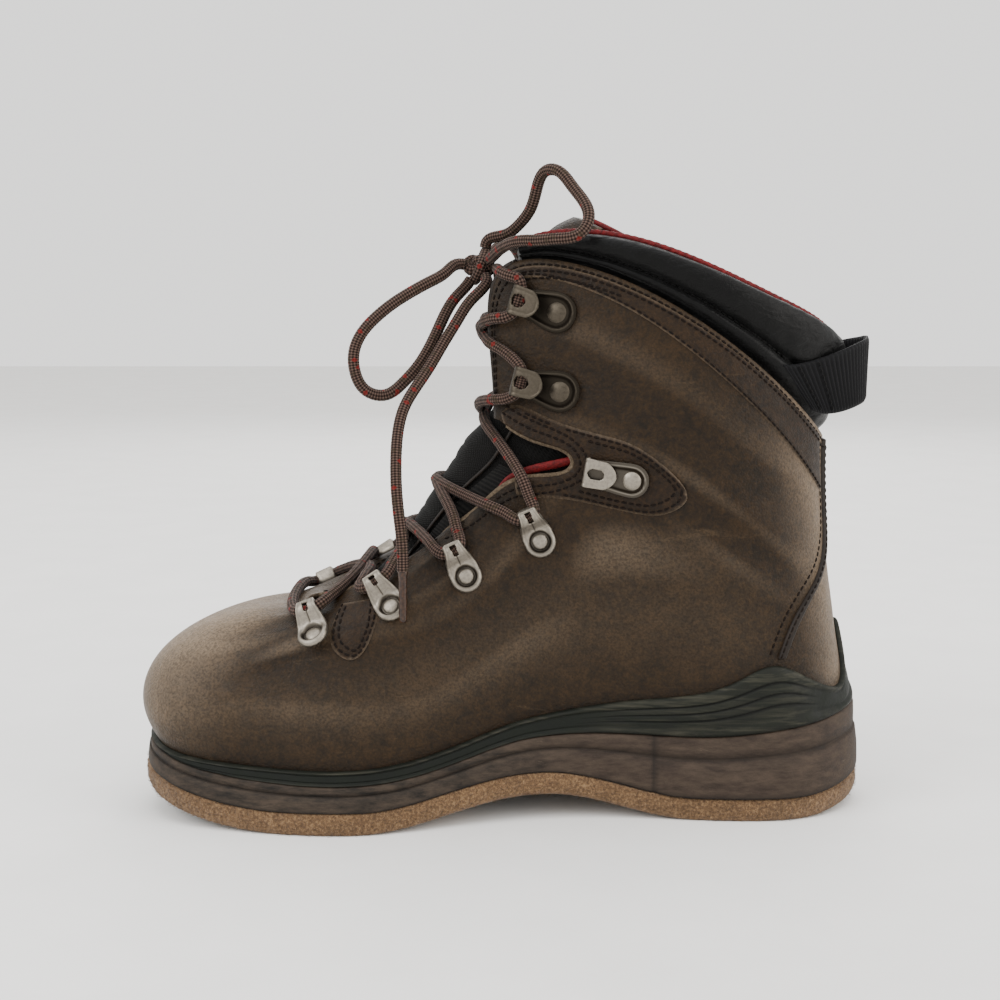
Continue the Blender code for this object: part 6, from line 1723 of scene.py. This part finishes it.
def laceExit(name, side, way):
    row = next(row for row in ringRows + hookRows if row[0] == name)
    if row in ringRows:
        place = seatOnUpper(row, side, fitting["ringLength"], fitting["ringRadius"])
        half, y, z = fitting["ringTop"] / 2 * 1.08, tunnelY, tunnelZ
    else:
        bend = (fitting["hookMouth"] + fitting["metal"]) / 2
        place = seatOnUpper(row, side, fitting["hookReach"], fitting["hookPlate"])
        half = fitting["hookWidth"] / 2
        y, z = fitting["hookReach"] - bend - fitting["metal"] / 2, fitting["metal"] / 2 + bend
    across = -side * way
    reach = half + pad["fit"]
    lead = Vector((across * (reach + fitting["lace"] * 0.8), y + fitting["lace"] * 0.1, z + 1.5 * 1.2 * mm))
    return [np.array(place @ Vector((across * reach, y, z))), np.array(place @ lead),
            np.array(place @ Vector((0, y, z)))]


def overTongue(position, degrees):
    lift = lace["radius"] + pad["fit"]
    if position > tongue["facingStart"] - 1:
        lift += tongue["facing"] + pad["fit"]
    return tonguePlace(position, math.radians(degrees), -lift)


def overEdge(line, rise, side):
    return offUpper(onSide(line, side), rise, lace["radius"] + lace["edge"] + 2 * pad["fit"])


def liftOff(place, tree):
    near, normal, _, gap = tree.find_nearest(place)
    away = place - near
    outwards = Vector((-0.5, math.copysign(min(1.0, abs(place.y) / fitting["lace"] / 4), place.y), 0.7))
    if normal.dot(outwards) < 0:
        return outwards.normalized() * lace["fit"]
    outside = 1 if away.dot(normal) > 0 else -1
    lacking = lace["radius"] + lace["fit"] * 0.35 - outside * gap
    return (away.normalized() * outside if gap > 0 else normal) * max(0.0, lacking)


def laidOn(path, tree):
    path = [Vector(point) for point in path]
    for _ in range(lace["rounds"]):
        for i in range(2, len(path) - 2):
            path[i] = path[i].lerp((path[i - 1] + path[i + 1]) / 2, lace["even"])
        for i in range(2, len(path) - 2):
            path[i] += liftOff(path[i], tree)
            for neighbour in (i - 1, i + 1):
                path[i] += liftOff(path[i].lerp(path[neighbour], 0.4), tree)
    return [np.array(point) for point in path]


def strand(row, side, tree):
    _, upper, lower, place, spread, turn, highLine, highRise, lowLine, lowRise = row
    (start, after, _), (end, before, _) = laceExit(upper, side, -1), laceExit(lower, -side, 1)
    path = [after, overEdge(highLine, highRise, side), overTongue(place + spread, side * turn),
            overTongue(place, 0.0), overTongue(place - spread, -side * turn),
            overEdge(lowLine, lowRise, -side), before]
    return laidOn([start, *evenPath(path, lace["strandPoints"]), end], tree)


def crossOver(path, under):  # where one strand crosses another it rides over it on a low hump
    under, up, out = smoothPath(under, 1.0 * mm), np.array([-0.72, 0.0, 0.69]), []
    for point in path:
        gap = np.linalg.norm(under - point, axis=1)
        lift = (2 * lace["radius"] + 0.3 * mm) * bell(gap.min(), 0, 5.5 * mm)
        lift = max(0.0, float(lift) - max(0.0, (point - under[gap.argmin()]).dot(up)))
        out.append(point + up * lift)
    return out


def relaxed(path, tree):
    # the whole lace pulled smooth: points in the tunnels and under the hooks stay where they are
    held = [np.array(laceExit(row[0], side, 1)[2]) for row in ringRows + hookRows for side in (-1, 1)]
    path = np.array(path)
    free = np.array([min(np.linalg.norm(point - place) for place in held) > 3.5 * mm for point in path])
    free[[0, -1]] = False
    for _ in range(9):
        even = path.copy()
        even[1:-1] = path[1:-1] * 0.45 + (path[:-2] + path[2:]) * 0.275
        for k in np.flatnonzero(free):
            near, normal, _, gap = tree.find_nearest(Vector(even[k]))
            away = Vector(even[k]) - near
            outside = 1 if away.dot(normal) > 0 else -1
            lacking = lace["radius"] * 0.9 - outside * gap
            move = (away.normalized() * outside if gap > 1e-6 else normal) * max(0.0, lacking)
            path[k] = even[k] + np.array(move)
    return path


def lacePath():
    base = ["upper", "tongue", "tongue_facing"]
    for _, word in bothSides:
        base += [kind + word for kind in ("collar_band_", "ankle_patch_", "vamp_tab_")]
        base += [row[0] + "_" + word for row in ringRows + hookRows]
    below = searchTree([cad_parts[name] for name in base])
    strands = []
    for k, row in enumerate(crossings):  # the far strand rides over the near one, then the other way round
        near, far = (strand(row, side, below) for side in (-1, 1))
        strands.append({-1: crossOver(near, far), 1: far} if k % 2 else {-1: near, 1: crossOver(far, near)})
    (start, after, _), (end, before, _) = (laceExit("lace_ring_1", side, -1) for side in (-1, 1))
    vamp = [offUpper(line, rise, lace["radius"] + pad["fit"]) for line, rise in vampBar]
    bar = laidOn([start, *evenPath([after, *vamp, before], lace["strandPoints"]), end], below)
    (start, after, _), (end, before, _) = (laceExit("speed_hook_2", side, 1) for side in (-1, 1))
    place, turn, line, rise = topStrand
    path = [after, overEdge(line, rise, -1), overTongue(place, -turn), overTongue(place, 0.0),
            overTongue(place, turn), overEdge(line, rise, 1), before]
    top = laidOn([start, *evenPath(path, lace["strandPoints"]), end], below)
    halves = []
    for side in (-1, 1):
        points = [laceExit("lace_ring_1", side, 1)[2]]
        for row, pair in zip(crossings, strands):
            side = -side
            points += [*reversed(pair[side]), laceExit(row[1], side, 1)[2]]
        part = top if side == -1 else top[::-1]
        points += part[:len(part) // 2]
        halves.append(points)
    return relaxed(halves[0][::-1] + bar + halves[1], below)


def braidRelief(run, turn):  # the plaits stand a little proud
    along, around = 8 * math.pi * run / (8 * mm), 4 * turn
    return lace["relief"] * np.sin(along + around) * np.sin(along - around)


def knotExit(direction):
    way = Vector(direction).normalized()
    reach = 1 / Vector([share / size for share, size in zip(way, knot["size"])]).length
    return [np.array(Vector(knot["place"]) + way * (reach + knot["fit"] + out)) * mm for out in (0, 2.5)]


def freeRoute(name):
    exits = [knotExit(direction) for direction in knotExits[name]]
    points, count = laceRoutes[name]
    inner = [exits[0][1], *np.array(points) * mm, *[end[1] for end in exits[1:]]]
    return [exits[0][0], *evenPath(inner, count), *[end[0] for end in exits[1:]]]


def lengthOf(path):
    return float(np.linalg.norm(np.diff(np.array(path), axis=0), axis=1).sum())


def makeTip(name, path):  # film shrunk on the lace's end, crimped flat near its tip
    down = path[-1] - path[-2]
    down /= np.linalg.norm(down)
    share = np.linspace(0, 1, 26)
    places = path[-1] - down * 0.6 * mm + down * (0.9 * mm + lace["tipLength"]) * share[:, None]
    radii = lace["tipRadius"] * (1.08 - 0.22 * ease(0.0, 0.25, share) + 0.02 * np.sin(share * 40)
                                 - 0.30 * ease(0.93, 1.0, share))
    radii[0] *= 0.92
    name = name.replace("end", "aglet")
    return dress(sweep(name + "_film", places, radii, 18, 0.9), tipFilm, "aglet", name)


def makeLaces():
    path = smoothPath(lacePath(), lace["step"])
    through = sweep("lace_through_fittings", path, lace["radius"] - 0.1 * mm, lace["sides"],
                    relief=braidRelief)
    dress(through, laceBraid, "lace", "lace_bar", *["lace_cross_%d" % k for k in range(1, 7)])
    for name in laceRoutes:
        points, hanging = freeRoute(name), "end" in name
        route = smoothPath(points, lace["step"])
        cord = sweep(name + "_cord", route, lace["radius"] - 0.05 * mm, lace["sides"], relief=braidRelief)
        pieces = [makeTip(name, route)] if hanging else []
        dress(cord, laceBraid, "lace", name)
        tuple(map(float, points[0]))
        print(name, "length", round(lengthOf(route) / mm), "mm")


def makeKnot():  # the bow's centre: a wrap round two passing strands, packed into the knot's own size
    centre, size = np.array(knot["place"]) * mm, np.array(knot["size"]) * mm
    turns = np.linspace(0, 2 * math.pi, 190)
    trefoil = np.column_stack([np.sin(turns) + 2 * np.sin(2 * turns), np.cos(turns) - 2 * np.cos(2 * turns),
                               -np.sin(3 * turns) * 1.25])
    trefoil = (trefoil / 3.0 * (size - lace["radius"] * 0.92))[:, [1, 0, 2]]
    wrap = np.column_stack([np.cos(turns) * (size[0] - 2.2 * mm) * 0.55,
                            np.sin(turns) * (size[1] - 2.3 * mm),
                            np.sin(turns + 0.6) * 1.5 * mm + np.cos(turns) * (size[2] - 2.3 * mm)])
    cords = [sweep(name, centre + way, lace["radius"] * 0.94, lace["sides"], relief=braidRelief)
             for name, way in (("knot_core", trefoil), ("knot_wrap", wrap))]
    dress(joined("lace_bow_knot", cords), laceBraid, "lace", "lace_knot")


makeLaces()
makeKnot()
print("lace made")
